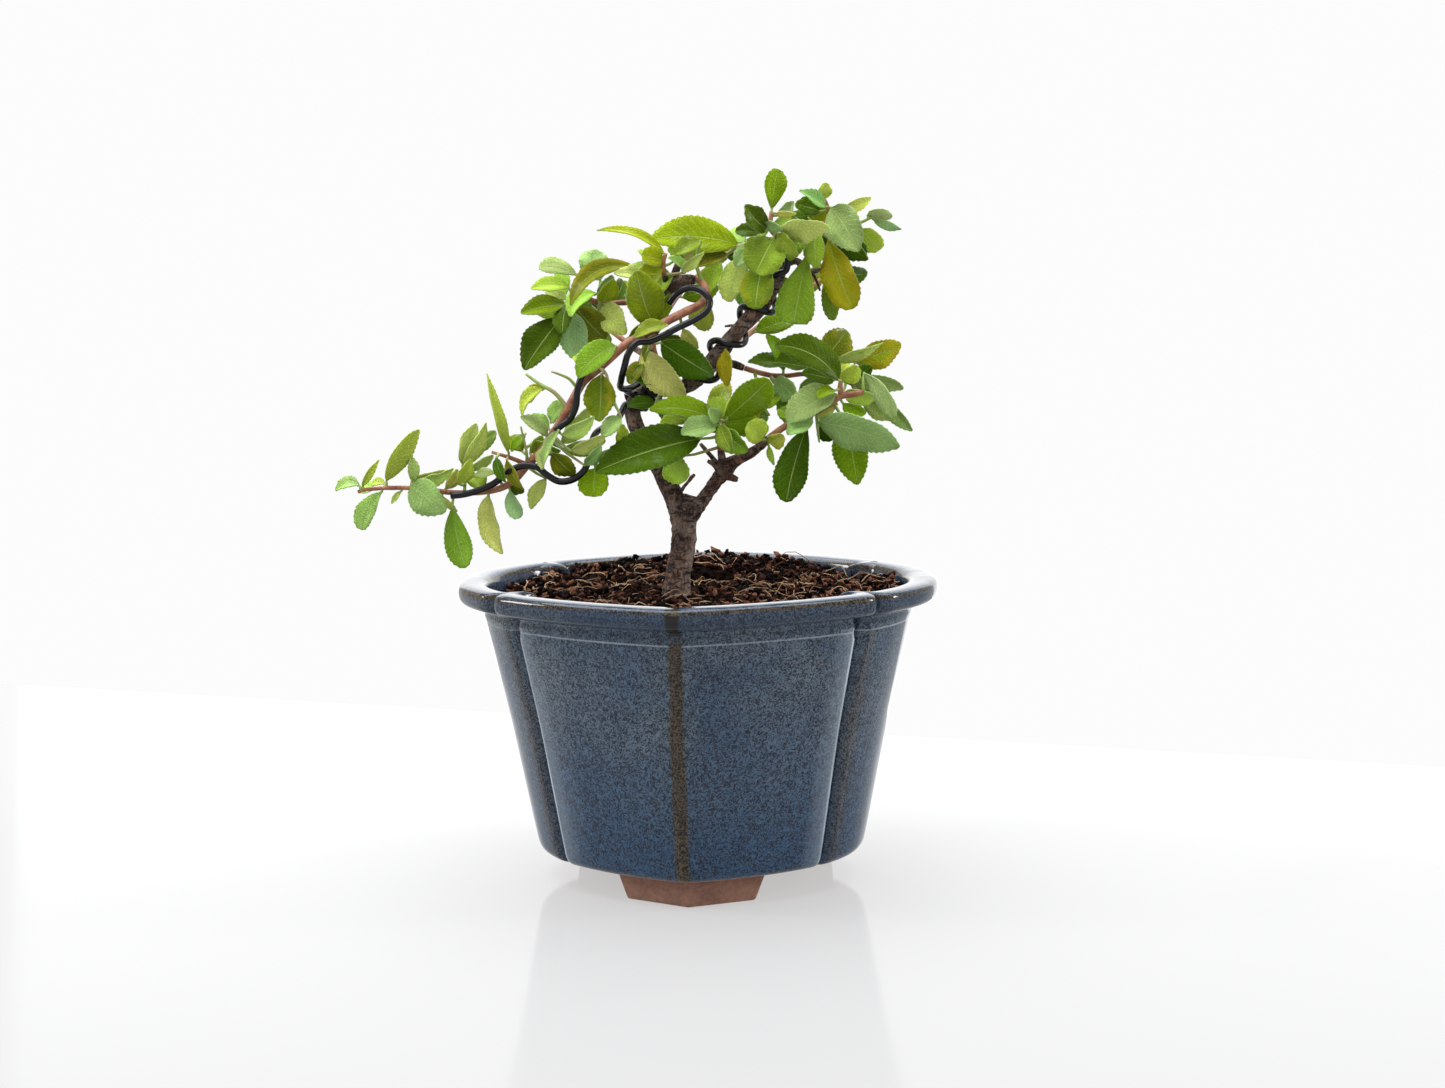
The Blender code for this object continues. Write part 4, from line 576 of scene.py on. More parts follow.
trunk_foot = from_front(*TRUNK_FOOT).xy
soil_rings = [plan_ring(inner_share(height) * SOIL_SHRINK, height) for height in SOIL_WALL_LEVELS]
soil_edge = soil_rings[-1]
soil_hole = [trunk_foot + (point.xy - trunk_foot).normalized() * HOLE_RADIUS for point in soil_edge]
for number in range(1, SOIL_RINGS + 1):
    share = (number / SOIL_RINGS) ** 0.9
    rise = min(1.0, number / SOIL_RINGS * SOIL_RIM_RISE)
    ring = []
    for outer, inner in zip(soil_edge, soil_hole):
        spot = outer.xy.lerp(inner, share)
        ring.append(Vector((*spot, SOIL_EDGE_Z + (soil_height(*spot) - SOIL_EDGE_Z) * rise)))
    soil_rings.append(ring)
soil_rings.append([Vector((*point, HOLE_FLOOR_Z)) for point in soil_hole])
bm = bmesh.new()
skin(bm, soil_rings, False)
bmesh.ops.holes_fill(bm, edges=bm.edges, sides=0)
bmesh.ops.recalc_face_normals(bm, faces=bm.faces)

earth, tree, shader, place = new_surface("dark_potting_mix")
lumps = patchy(tree, place, 420.0, 5.0, 0.4, 0.35, 0.68)
damp = patchy(tree, place, 60.0, 3.0, 0.4, 0.38, 0.64)
dry = mixed(tree, damp, (0.008, 0.004, 0.003), (0.024, 0.010, 0.006))
feed(tree, shader, {
    "Base Color": mixed(tree, lumps, (0.003, 0.002, 0.001), dry),
    "Roughness": 0.95,
    "Specular IOR Level": 0.02,
})
roughen(tree, shader, lumps, 1.0, 0.001)
finish_piece("soil_bed", bm, [earth], "soil", "soil")


# Crumbs: loose bits and chips of bark, from nearly black to dry tan, scattered over the soil.
# They lie as they fell when the pot was filled, half sunk; those in the hollow lie low, and are painted the
# darkest tint as shade.
CRUMB_BATCHES = 60
CRUMBS_IN_BATCH = 100
CRUMB_SIZES = (0.6, 1.32)
CRUMB_LENGTHS = (1.1, 2.6)
CRUMB_HEIGHTS = (0.35, 0.8)
CRUMB_CHIP = 0.24
HOLLOW_CHIP = 0.144
CRUMB_SINK = -0.8
CRUMB_RISE = 1.5
FIELD = ((-72.0, 72.0), (-62.0, 70.0))
FIELD_SHARE = 0.85
TRUNK_CLEAR = 5.6
# A full turn in radians, near enough for things that lie at random.
FULL_TURN = 6.3
# From nearly black to dry tan; the darkest also serves as painted shade in the hollow.
CRUMB_TINTS = (
    (0.002, 0.001, 0.001), (0.005, 0.002, 0.002), (0.034, 0.012, 0.007), (0.100, 0.037, 0.021),
    (0.21, 0.095, 0.054))


def inside_rim(spot):
    """Whether a place lies inside the wall, at the share of the rim's outline that the open soil has."""
    spot = Vector((spot.x, spot.y - POT_BACK))
    crossings = 0
    for start, end in zip(RIM_PLAN, RIM_PLAN[1:] + RIM_PLAN[:1]):
        if (start.y * FIELD_SHARE > spot.y) != (end.y * FIELD_SHARE > spot.y):
            cut = (spot.y / FIELD_SHARE - start.y) / (end.y - start.y)
            if spot.x < (start.x + (end.x - start.x) * cut) * FIELD_SHARE:
                crossings += 1
    return crossings % 2 == 1


def soil_spot(rng):
    """A random place on the open soil, clear of the trunk and the wall."""
    while True:
        spot = Vector([rng.uniform(*side) for side in FIELD])
        if inside_rim(spot) and (spot - trunk_foot).length > TRUNK_CLEAR:
            return Vector((spot.x, spot.y, soil_height(spot.x, spot.y)))


rng = random.Random(11)
bm = bmesh.new()
for batch in range(CRUMB_BATCHES):
    heap = bmesh.new()
    tint = heap.verts.layers.float_color.new("tint")
    for number in range(CRUMBS_IN_BATCH):
        size = rng.uniform(*CRUMB_SIZES) ** 2.0
        chip = bmesh.ops.create_cube(heap, size=size)["verts"]
        spot = soil_spot(rng)
        in_hollow = (spot.xy - HOLLOW_SPOT).length < HOLLOW_SPREAD
        chipped = size * (HOLLOW_CHIP if in_hollow else CRUMB_CHIP)
        # Crumbs in the hollow all take the darkest tint: painted shade.
        shade = CRUMB_TINTS[0 if in_hollow else int(rng.random() ** 1.5 * len(CRUMB_TINTS))]
        for vert in chip:
            vert.co += Vector([rng.uniform(-chipped, chipped) for axis in range(3)])
            vert[tint] = (*shade, 1.0)
        stretch = (rng.uniform(*CRUMB_LENGTHS), CRUMB_LENGTHS[0], rng.uniform(*CRUMB_HEIGHTS))
        bmesh.ops.scale(heap, vec=stretch, verts=chip)
        tumble = Matrix.Rotation(rng.uniform(0.0, FULL_TURN), 3, "Z")
        tumble @= Matrix.Rotation(rng.uniform(-1.3, 1.3), 3, "X")
        tumble @= Matrix.Rotation(rng.uniform(-0.9, 0.9), 3, "Y")
        bmesh.ops.rotate(heap, cent=(0.0, 0.0, 0.0), matrix=tumble, verts=chip)
        lift = Vector((0.0, 0.0, rng.uniform(CRUMB_SINK, 0.0 if in_hollow else CRUMB_RISE)))
        bmesh.ops.translate(heap, vec=spot + lift, verts=chip)
    mesh = bpy.data.meshes.new("heap")
    heap.to_mesh(mesh)
    heap.free()
    bm.from_mesh(mesh)
    bpy.data.meshes.remove(mesh)

crumb_skin, tree, shader, place = new_surface("bark_crumbs")
own = put(tree, "ShaderNodeAttribute", {}, attribute_name="tint").outputs["Color"]
pores = patchy(tree, place, 900.0, 3.0, 0.3, 0.35, 0.65)
feed(tree, shader, {
    "Base Color": mixed(tree, scaled(tree, pores, 0.6), own, (0.010, 0.006, 0.005)),
    "Roughness": 0.9,
    "Specular IOR Level": 0.04,
})
roughen(tree, shader, pores, 0.8, 0.0004)
finish_piece("soil_crumbs", bm, [crumb_skin], "soil")


# Coir fibres: tan and brown hairs of coconut husk, mixed into the soil.
# Their loose ends lie curled on top of it or stand a little off it.
FIBRE_COUNT = 260
FIBRE_STEPS = 7
FIBRE_LENGTHS = (4.0, 17.0)
FIBRE_RADII = (0.09, 0.18)
FIBRE_BEND = 0.22
FIBRE_WAVER = 0.25
FIBRE_LIFT = 0.9
FIBRE_HUMP = 0.28


def tubes_mesh(name, runs, sides, relief=None):
    """Closed round tubes along runs of (points, radii), fused in one mesh in place; relief roughens them."""
    curve = bpy.data.curves.new(name, "CURVE")
    curve.dimensions = "3D"
    curve.bevel_depth = MM
    curve.bevel_resolution = (sides - 4) // 2
    curve.use_fill_caps = True
    for points, radii in runs:
        spline = curve.splines.new("POLY")
        spline.points.add(len(points) - 1)
        for knot, point, radius in zip(spline.points, points, radii):
            knot.co = (*(point * MM + STAND), 1.0)
            knot.radius = radius
    item = bpy.data.objects.new(name, curve)
    bpy.context.scene.collection.objects.link(item)
    bpy.context.view_layer.update()
    mesh = bpy.data.meshes.new_from_object(item.evaluated_get(bpy.context.evaluated_depsgraph_get()))
    bpy.data.objects.remove(item, do_unlink=True)
    bpy.data.curves.remove(curve)
    mesh.materials.clear()
    bm = bmesh.new()
    bm.from_mesh(mesh)
    bmesh.ops.remove_doubles(bm, verts=bm.verts, dist=0.000005)
    bmesh.ops.recalc_face_normals(bm, faces=bm.faces)
    if relief:
        bm.normal_update()
        for vert in bm.verts:
            vert.co += vert.normal * relief((vert.co - STAND) / MM) * MM
    bm.to_mesh(mesh)
    bm.free()
    return mesh


fibre_runs = []
for number in range(FIBRE_COUNT):
    spot = soil_spot(rng)
    heading = rng.uniform(0.0, FULL_TURN)
    length = rng.uniform(*FIBRE_LENGTHS)
    bend = rng.uniform(-FIBRE_BEND, FIBRE_BEND)
    rise = rng.uniform(0.0, 0.9) ** 2
    points = []
    for step in range(FIBRE_STEPS + 1):
        if not inside_rim(spot.xy) or (spot.xy - trunk_foot).length < HOLE_RADIUS:
            break
        hump = math.sin(step / FIBRE_STEPS * math.pi) * rise * length * FIBRE_HUMP
        points.append(Vector((spot.x, spot.y, soil_height(spot.x, spot.y) + FIBRE_LIFT + hump)))
        heading += bend + rng.uniform(-FIBRE_WAVER, FIBRE_WAVER)
        spot += Vector((math.cos(heading), math.sin(heading), 0.0)) * length / FIBRE_STEPS
    if len(points) > 3:
        fibre_runs.append((points, [rng.uniform(*FIBRE_RADII)] * len(points)))

coir, tree, shader, place = new_surface("tan_coir")
streaks = patchy(tree, place, 90.0, 3.0, 0.2, 0.35, 0.65)
feed(tree, shader, {
    "Base Color": mixed(tree, streaks, (0.50, 0.33, 0.18), (0.14, 0.060, 0.032)),
    "Roughness": 0.7,
})
roughen(tree, shader, streaks, 0.3, 0.0002)
link_piece("coir_fibres", tubes_mesh("coir_fibres", fibre_runs, 4), [coir], "soil")


# Trunk and limbs: old firethorn wood with grey-brown, cracked bark, one trunk that forks in two.
# Pruned stubs and short thorny twigs stand on it, and it grows from the hole in the soil.
# Each station of the wood, and of every stem below, is seen from the front: across, up, back and radius.
TRUNK = (
    (-7.6, 67.5, -11, 3.7), (-7.3, 80, -11, 4.0), (-6.9, 91, -10.5, 4.5), (-6.2, 98, -10, 4.2),
    (-5.1, 104, -9, 4.0), (-4.0, 110, -8, 4.2), (-3.6, 117, -7, 4.0), (-3.0, 122.5, -6, 3.7),
)
LEFT_LIMB = (
    (-4.4, 116, -7, 3.2), (-6.3, 124, -6, 3.4), (-8.9, 130, -4.5, 3.2), (-12.2, 136.5, -3, 2.9),
    (-16, 143.5, -1, 2.8), (-19.3, 150, 1, 2.7), (-20.2, 155.5, 3, 2.6), (-17.6, 159.8, 4, 2.6),
    (-12, 161.5, 4, 2.5), (-6, 161.8, 3, 2.5), (-1, 163.2, 2, 2.6), (3.5, 167, 1, 2.8),
    (7.8, 171.8, 0, 3.0), (12, 177, 0, 2.6), (16.5, 182, 0, 2.5), (20.5, 186, 0, 2.8),
    (24, 188.9, 0.5, 2.1), (27, 193, 1, 1.5), (29.5, 198, 1, 1.4), (30.9, 203, 1, 1.35),
    (30.2, 207, 0, 1.2), (29.6, 209.3, -0.5, 1.1),
)
CROWN_LIMB = (
    (-17.6, 146.6, 0.2, 2.2), (-19.2, 150.6, 6.2, 2.1), (-19.6, 155.6, 11.2, 2.0), (-18.6, 162, 14, 2.0),
    (-16, 171, 14.5, 2.0), (-13, 180.5, 12, 2.0), (-10.5, 187.5, 8, 2.1), (-8, 193.2, 4.5, 2.6),
    (-4, 196.4, 2.5, 2.7), (-1, 197.6, 1.2, 1.9), (1.2, 197.6, 0.6, 1.5),
)
RIGHT_LIMB = (
    (-2.6, 117.5, -6.5, 2.6), (1, 122, -6, 2.4), (4.6, 127, -5.5, 2.1), (7.5, 131, -5, 2.3),
    (10.2, 134, -5, 2.9), (12.4, 136.6, -5, 2.4), (15.8, 138.4, -5.5, 1.8), (19, 140, -6, 1.7),
    (21.8, 141.9, -6.4, 1.35),
)
# The wood that fills the crotch of the fork, and the right limb's end, which the red shoot grows from.
CROTCH = (
    (-6.6, 124.2, -6.4, 2.4), (-3.4, 124.2, -7.2, 2.5), (-0.4, 123.3, -7.3, 2.4), (2.2, 123.2, -6.2, 1.8),
)
LIMB_END = (
    (19, 140, -6, 1.68), (21.8, 141.9, -6.4, 1.45), (24.6, 144.3, -7.2, 1.35), (27.6, 146.6, -8.1, 0.95),
)
LEAF_STUB = ((9.9, 174.3, 0.5, 1.5), (12.4, 175.6, 5, 1.2), (14.4, 176.4, 7.5, 1.0))
WOOD_STUBS = (
    ((-6.5, 195.5, 3.5, 1.8), (-4.8, 201, 3.2, 1.3), (-3.2, 205.4, 3, 1.1)),
    ((-10.5, 188, 7.5, 1.5), (-15, 190.2, 8.5, 1.25), (-19.8, 190.6, 8.2, 1.1)),
    ((-8.2, 195, 3.5, 1.6), (-8.4, 197.6, 1, 1.1), (-8.6, 199.2, -0.5, 0.95)),
    ((8.5, 171, 0, 1.7), (13, 169.8, 1.2, 1.2), (17, 168.4, 2, 1.0)),
    ((31, 203, 1, 1.2), (33.4, 205.7, 2, 1.1), (35.3, 207.7, 2.6, 1.0)),
    ((31, 202, 1, 1.2), (35, 203.3, 3, 1.1), (37.5, 200.6, 4, 1.2), (39.4, 199.6, 4.5, 1.2),
     (43, 200.6, 5, 0.6)),
    ((39, 200, 4.5, 0.8), (40.8, 198.2, 4.2, 0.5), (42.6, 193.4, 4, 0.32)),
    ((10.6, 132.6, -6, 1.7), (12.6, 131.8, -6.6, 1.3), (14.6, 131.2, -7, 0.9)),
    ((8.4, 135, -5, 1.3), (5.8, 139, -5.5, 0.75), (2.2, 143.3, -6, 0.5)),
    ((8.2, 134.4, -5.5, 1.2), (6.6, 136.2, -6, 0.9), (4.6, 137.6, -6.5, 0.6)),
    ((9.8, 135, -6, 1.7), (9.3, 138.6, -8, 1.35), (9.0, 141, -9, 1.2)),
    ((-5.5, 126, -8, 0.8), (-3, 129.6, -9.5, 0.5), (0, 133, -10.5, 0.35)),
    ((-16.2, 143.5, -2, 1.1), (-18.6, 143.6, -4.6, 0.9), (-20, 143.4, -6, 0.8)),
    ((-10.5, 161.4, 2.5, 1.2), (-9.8, 162, -0.5, 1.0), (-9.6, 162.6, -2, 0.95)),
    ((17.5, 182, -1.5, 0.7), (14, 182.5, -4, 0.4), (11, 182.2, -5, 0.3)),
    ((12.2, 137.6, -6.5, 0.7), (13.6, 138.2, -8.6, 0.5), (14.6, 136.4, -9.4, 0.35)),
    ((-15.4, 173, 14.2, 1.3), (-18, 174.6, 17, 1.1), (-20.4, 176.2, 18.6, 1.0)),
    ((-12, 183.5, 10.6, 1.2), (-9.5, 186, 13.8, 1.1), (-7.6, 188.2, 15.5, 1.0)),
    LEAF_STUB,
    ((-14, 140, -1.5, 1.6), (-12.4, 142, 4, 1.2), (-10.6, 144, 7.5, 1.0)),
)
BARK_STEP = 0.8
BARK_SIDES = 20
# Young bark, redder and smoother, covers the right limb: from and to across, and its upper end.
YOUNG_SIDE = (3.0, 12.0)
YOUNG_TOP = (155.4, 161.4)


def smooth_run(points, values, step):
    """A smooth run through points, with values carried along, sampled about every step."""
    out_points = []
    out_values = []
    last = len(points) - 1
    for index in range(last):
        before, start, end, after = (points[min(max(index + shift, 0), last)] for shift in (-1, 0, 1, 2))
        count = max(1, round((end - start).length / step))
        for number in range(count):
            t = number / count
            out_points.append(
                start * (2.0 * t ** 3 - 3.0 * t ** 2 + 1.0)
                + (end - before) * 0.5 * (t ** 3 - 2.0 * t ** 2 + t)
                + end * (-2.0 * t ** 3 + 3.0 * t ** 2)
                + (after - start) * 0.5 * (t ** 3 - t ** 2))
            out_values.append(values[index] + (values[index + 1] - values[index]) * t)
    return out_points + [points[last]], out_values + [values[last]]


def stem_run(stations, step):
    """Points and radii of a stem given by its stations as seen from the front."""
    points = [from_front(*station[:3]) for station in stations]
    return smooth_run(points, [station[3] for station in stations], step)


def bark_relief(spot):
    """Ridges along the wood, cracks round it, plates and a few knots; the wood is smoother higher up."""
    ridges = noise.noise(Vector((spot.x * 0.9, spot.y * 0.9, spot.z * 0.3)))
    cracks = noise.noise(Vector((spot.x * 0.25, spot.y * 0.25, spot.z * 1.5)))
    plates = noise.noise(Vector((spot.x * 0.5, spot.y * 0.5, spot.z * 0.6)))
    knots = max(0.0, noise.noise(spot * 0.16)) ** 2
    age = max(0.25, min(1.0, (150.0 - spot.z) / 45.0))
    return (0.50 * ridges + 0.40 * cracks + 0.30 * plates + 1.4 * knots) * age


bark, tree, shader, place = new_surface("grey_brown_bark")
long_way = put(tree, "ShaderNodeMapping", {"Vector": place, "Scale": (1.0, 1.0, 0.45)}).outputs["Vector"]
round_way = put(tree, "ShaderNodeMapping", {"Vector": place, "Scale": (0.45, 0.45, 1.5)}).outputs["Vector"]
furrows = patchy(tree, long_way, 520.0, 6.0, 1.6, 0.40, 0.62)
cracked = patchy(tree, round_way, 420.0, 5.0, 1.6, 0.55, 0.64)
lichen = patchy(tree, place, 130.0, 4.0, 0.3, 0.48, 0.66)
worn = patchy(tree, place, 260.0, 4.0, 0.5, 0.36, 0.68)
wood = mixed(tree, furrows, (0.008, 0.004, 0.003), (0.235, 0.135, 0.092))
young_wood = mixed(tree, furrows, (0.045, 0.016, 0.010), (0.230, 0.105, 0.070))
reddened = mixed(tree, scaled(tree, worn, 0.55), wood, (0.080, 0.030, 0.017))
across, back, up = put(tree, "ShaderNodeSeparateXYZ", {"Vector": place}).outputs
to_right = ramp(tree, across, STAND.x + YOUNG_SIDE[0] * MM, STAND.x + YOUNG_SIDE[1] * MM)
young_share = sums(tree, "MULTIPLY", to_right, level(tree, up, YOUNG_TOP, 0.85, 0.0))
barked = mixed(tree, young_share, reddened, young_wood)
greyed = mixed(tree, scaled(tree, lichen, 0.50), barked, (0.40, 0.31, 0.25))
feed(tree, shader, {
    "Base Color": mixed(tree, scaled(tree, cracked, 0.95), greyed, (0.008, 0.004, 0.003)),
    "Roughness": 0.85,
})
roughen(tree, shader, sums(tree, "SUBTRACT", furrows, cracked), 1.0, 0.0009)
all_wood = (TRUNK, LEFT_LIMB, CROWN_LIMB, RIGHT_LIMB, CROTCH, LIMB_END, *WOOD_STUBS)
wood_runs = [stem_run(stations, BARK_STEP) for stations in all_wood]
wood_mesh = tubes_mesh("trunk_and_limbs", wood_runs, BARK_SIDES, bark_relief)
link_piece("trunk_and_limbs", wood_mesh, [bark], "bark", "trunk")


# Leaves: firethorn's leathery blades, longer than wide, finely toothed, folded along a pale midrib.
# Each grows on a short stalk from its stem. This section holds what all the sprays share.
BLADE_THICK = 0.28
BLADE_FOLD = 0.36
BLADE_FULLNESS = 0.93
BLADE_LEAST_HALF = 0.2
BLADE_ROWS = 4
TOOTH_LENGTH = 1.5
TOOTH_LEAN = 0.4
TOOTH_OUT = 1.025
TOOTH_IN = 0.965
# What differs from leaf to leaf: the depth of its waves, how many there are, its twist, fold and shade, and
# how much lighter one half is than the other, which is light painted on its fold.
WAVE_SHARES = (0.03, 0.09)
WAVE_COUNTS = (1.0, 2.2)
TWIST = 0.22
FOLD_SHARES = (0.8, 1.5)
SHADE_SHARES = (0.86, 1.14)
FOLD_LIGHT_SHARES = (0.04, 0.18)
STALK_RADII = (0.62, 0.5, 0.45, 0.22)
STALK_SAG = 0.04
THIN_STEM = 0.8
STEM_STEP = 1.2
TWIG_SIDES = 10
SHOOT_SIDES = 8
STALK_SIDES = 6
# How fast a blade widens from its base, and how fast it closes at its tip.
OUTLINES = {
    "lance": (0.85, 1.05),
    "oval": (0.74, 0.82),
    "spoon": (1.0, 0.60),
    "round": (0.58, 0.56),
    "torn": (1.4, 0.35),
}
# Colour, and how far the blade is yellowing from its edge, for each look; the blue, silver and pale looks are
# partly the leaf's colour and partly a painted bluish-white sheen.
LEAF_TINTS = {
    "deep": (0.075, 0.170, 0.001, 0.0),
    "mid": (0.235, 0.385, 0.002, 0.0),
    "fresh": (0.290, 0.470, 0.030, 0.0),
    "lime": (0.450, 0.640, 0.005, 0.0),
    "light": (0.600, 0.800, 0.080, 0.0),
    "pale": (0.720, 0.860, 0.200, 0.0),
    "blue": (0.400, 0.620, 0.165, 0.0),
    "silver": (0.520, 0.780, 0.290, 0.0),
    "olive": (0.215, 0.280, 0.010, 0.4),
    "yellow": (0.480, 0.470, 0.008, 0.8),
    "brown": (0.150, 0.070, 0.014, 1.0),
}


def blade_half(kind, share):
    """Half width of a blade at a share of its length, as a part of its greatest half width."""
    opening, closing = OUTLINES[kind]
    widest = opening / (opening + closing)
    return (share / widest) ** opening * ((1.0 - share) / (1.0 - widest)) ** closing


def nearest_on(paths, point):
    """The spot on a set of stem paths that lies nearest to a point."""
    spots = []
    for points in paths:
        for start, end in zip(points, points[1:]):
            run = end - start
            spots.append(start + run * max(0.02, min(0.98, (point - start).dot(run) / run.length_squared)))
    return min(spots, key=lambda spot: (spot - point).length)


def add_blade(bm, layers, leaf, rng):
    """One blade laid from its base to its tip: arched, folded, waved and finely toothed."""
    uv, tint = layers
    base = from_front(*leaf[0:3])
    tip = from_front(*leaf[3:6])
    width, turn, arch, bend, kind, look = leaf[6:12]
    *colour, yellowing = LEAF_TINTS[look]
    length = (tip - base).length
    along = (tip - base).normalized()
    towards_eye = (turned @ EYE - base).normalized()
    facing = (towards_eye - along * towards_eye.dot(along)).normalized()
    facing.rotate(Matrix.Rotation(math.radians(turn), 3, along))
    side = along.cross(facing)
    lift = facing * arch + side * bend
    columns = max(8, min(32, 2 * round(length / TOOTH_LENGTH)))
    wave = rng.uniform(*WAVE_SHARES) * width
    phase = rng.uniform(0.0, FULL_TURN)
    ripples = rng.uniform(*WAVE_COUNTS)
    twist = rng.uniform(-TWIST, TWIST)
    cup = BLADE_FOLD * rng.uniform(*FOLD_SHARES)
    shade = [channel * rng.uniform(*SHADE_SHARES) for channel in colour]
    painted_fold_light = rng.choice((-1.0, 1.0)) * rng.uniform(*FOLD_LIGHT_SHARES)
    made = bmesh.ops.create_grid(bm, x_segments=columns, y_segments=BLADE_ROWS, size=1.0, calc_uvs=True)
    for vert in made["verts"]:
        share = (vert.co.x + 1.0) / 2.0
        across = vert.co.y
        for loop in vert.link_loops:
            loop[uv].uv = (share, (across + 1.0) / 2.0)
        rim = abs(across)
        odd = round(share * columns) % 2
        on = min(1.0, share + rim * odd * TOOTH_LEAN / columns)
        spine = base.lerp(tip, on) + lift * 4.0 * on * (1.0 - on)
        heading = (along + lift * 4.0 * (1.0 - 2.0 * on) / length).normalized()
        sideways = (side - heading * side.dot(heading)).normalized()
        sideways.rotate(Matrix.Rotation(twist * (share - 0.4), 3, heading))
        half = width * BLADE_FULLNESS / 2.0 * blade_half(kind, share) * (TOOTH_OUT if odd else TOOTH_IN)
        half = max(BLADE_LEAST_HALF, half)
        ripple = math.sin(phase + across + share * ripples * FULL_TURN) * math.sin(math.pi * share)
        raised = half * cup * rim ** 1.3 + wave * rim * rim * ripple
        vert.co = spine + sideways * half * across + sideways.cross(heading) * raised
        # Painted light on the fold: one half of the blade lighter, the other darker.
        fold_light_factor = 1.0 + painted_fold_light * max(-1.0, min(1.0, across * 3.0))
        vert[tint] = (*(channel * fold_light_factor for channel in shade), yellowing)


def stalk(paths, leaf):
    """A leaf's stalk: from its stem to the blade's base, and on a little under the midrib."""
    base = from_front(*leaf[0:3])
    root = nearest_on(paths, base)
    middle = root.lerp(base, 0.5) + Vector((0.0, 0.0, -STALK_SAG * (base - root).length))
    return [root, middle, base, base.lerp(from_front(*leaf[3:6]), 0.1)], STALK_RADII


def off_midrib(tree):
    """How far along a blade a point is, and how far it is off the midrib, as shares of length and width."""
    blade_map = put(tree, "ShaderNodeUVMap", {}, uv_map="blade").outputs["UV"]
    along, across = put(tree, "ShaderNodeSeparateXYZ", {"Vector": blade_map}).outputs[:2]
    return along, sums(tree, "ABSOLUTE", sums(tree, "SUBTRACT", across, 0.5))


leaf_skin, tree, shader, place = new_surface("firethorn_leaf")
painted = put(tree, "ShaderNodeAttribute", {}, attribute_name="tint").outputs
own = painted["Color"]
along, off_middle = off_midrib(tree)
blotches = patchy(tree, place, 260.0, 5.0, 0.5, 0.36, 0.66)
midrib = ramp(tree, off_middle, 0.008, 0.028, 1.0, 0.0)
uneven = sums(tree, "MULTIPLY_ADD", blotches, 0.03, along)
slanted = sums(tree, "MULTIPLY_ADD", off_middle, -0.42, uneven)
side_ribs = ramp(tree, sums(tree, "PINGPONG", slanted, 0.046), 0.002, 0.013, 1.0, 0.0)
ribs = sums(tree, "MAXIMUM", scaled(tree, side_ribs, 0.42), midrib)
net = put(tree, "ShaderNodeTexVoronoi", {"Vector": place, "Scale": 1000.0}, feature="DISTANCE_TO_EDGE")
cells = ramp(tree, net.outputs["Distance"], 0.02, 0.30)
dark = put(tree, "ShaderNodeHueSaturation", {"Color": own, "Saturation": 1.04, "Value": 0.52}).outputs[0]
light = put(tree, "ShaderNodeHueSaturation", {"Color": own, "Saturation": 0.92, "Value": 1.55}).outputs[0]
# Painted shade: every blade darker towards its base.
shaded_to_base = mixed(tree, ramp(tree, along, 0.0, 1.0, 0.50, 0.0), own, dark)
blended = mixed(tree, scaled(tree, blotches, 0.40), shaded_to_base, dark)
quilted = mixed(tree, scaled(tree, cells, 0.30), blended, light)
ribbed = mixed(tree, scaled(tree, ribs, 0.90), quilted, light)
lit_rib = mixed(tree, scaled(tree, midrib, 0.6), ribbed, (0.52, 0.66, 0.20))
rimmed = mixed(tree, ramp(tree, off_middle, 0.475, 0.5, 0.0, 0.6), lit_rib, light)
ageing = patchy(tree, place, 190.0, 4.0, 0.6, 0.30, 0.72)
from_edge = sums(tree, "MULTIPLY_ADD", off_middle, 1.1, ageing)
turning = sums(tree, "MULTIPLY", from_edge, painted["Alpha"])
yellowed = mixed(tree, ramp(tree, turning, 0.25, 0.75), rimmed, (0.50, 0.42, 0.015))
wet = patchy(tree, place, 110.0, 4.0, 0.8, 0.52, 0.68)
feed(tree, shader, {
    "Base Color": mixed(tree, ramp(tree, turning, 0.95, 1.15), yellowed, (0.16, 0.060, 0.018)),
    "Roughness": ramp(tree, blotches, 0.0, 1.0, 0.30, 0.50),
    "Specular IOR Level": 0.06,
    "Coat Weight": scaled(tree, wet, 0.5),
    "Coat Roughness": 0.22,
})
roughen(tree, shader, sums(tree, "MULTIPLY_ADD", cells, 0.35, scaled(tree, ribs, -1.0)), 0.7, 0.0005)
glow = put(tree, "ShaderNodeBsdfTranslucent", {"Color": own})
lit = put(tree, "ShaderNodeMixShader", {0: 0.28, 1: shader.outputs["BSDF"], 2: glow.outputs["BSDF"]})
feed(tree, tree.nodes["Material Output"], {"Surface": lit.outputs["Shader"]})

leaf_back, tree, shader, place = new_surface("leaf_underside")
own = put(tree, "ShaderNodeAttribute", {}, attribute_name="tint").outputs["Color"]
along, off_middle = off_midrib(tree)
keel = ramp(tree, off_middle, 0.02, 0.07, 1.0, 0.0)
down = patchy(tree, place, 300.0, 4.0, 0.4, 0.35, 0.66)
matt = mixed(tree, 0.5, own, (0.20, 0.27, 0.12))
felted = mixed(tree, scaled(tree, down, 0.35), matt, (0.10, 0.15, 0.06))
feed(tree, shader, {
    "Base Color": mixed(tree, scaled(tree, keel, 0.7), felted, (0.38, 0.44, 0.20)),
    "Roughness": 0.62,
})
roughen(tree, shader, sums(tree, "MULTIPLY_ADD", down, 0.4, keel), 0.5, 0.0005)

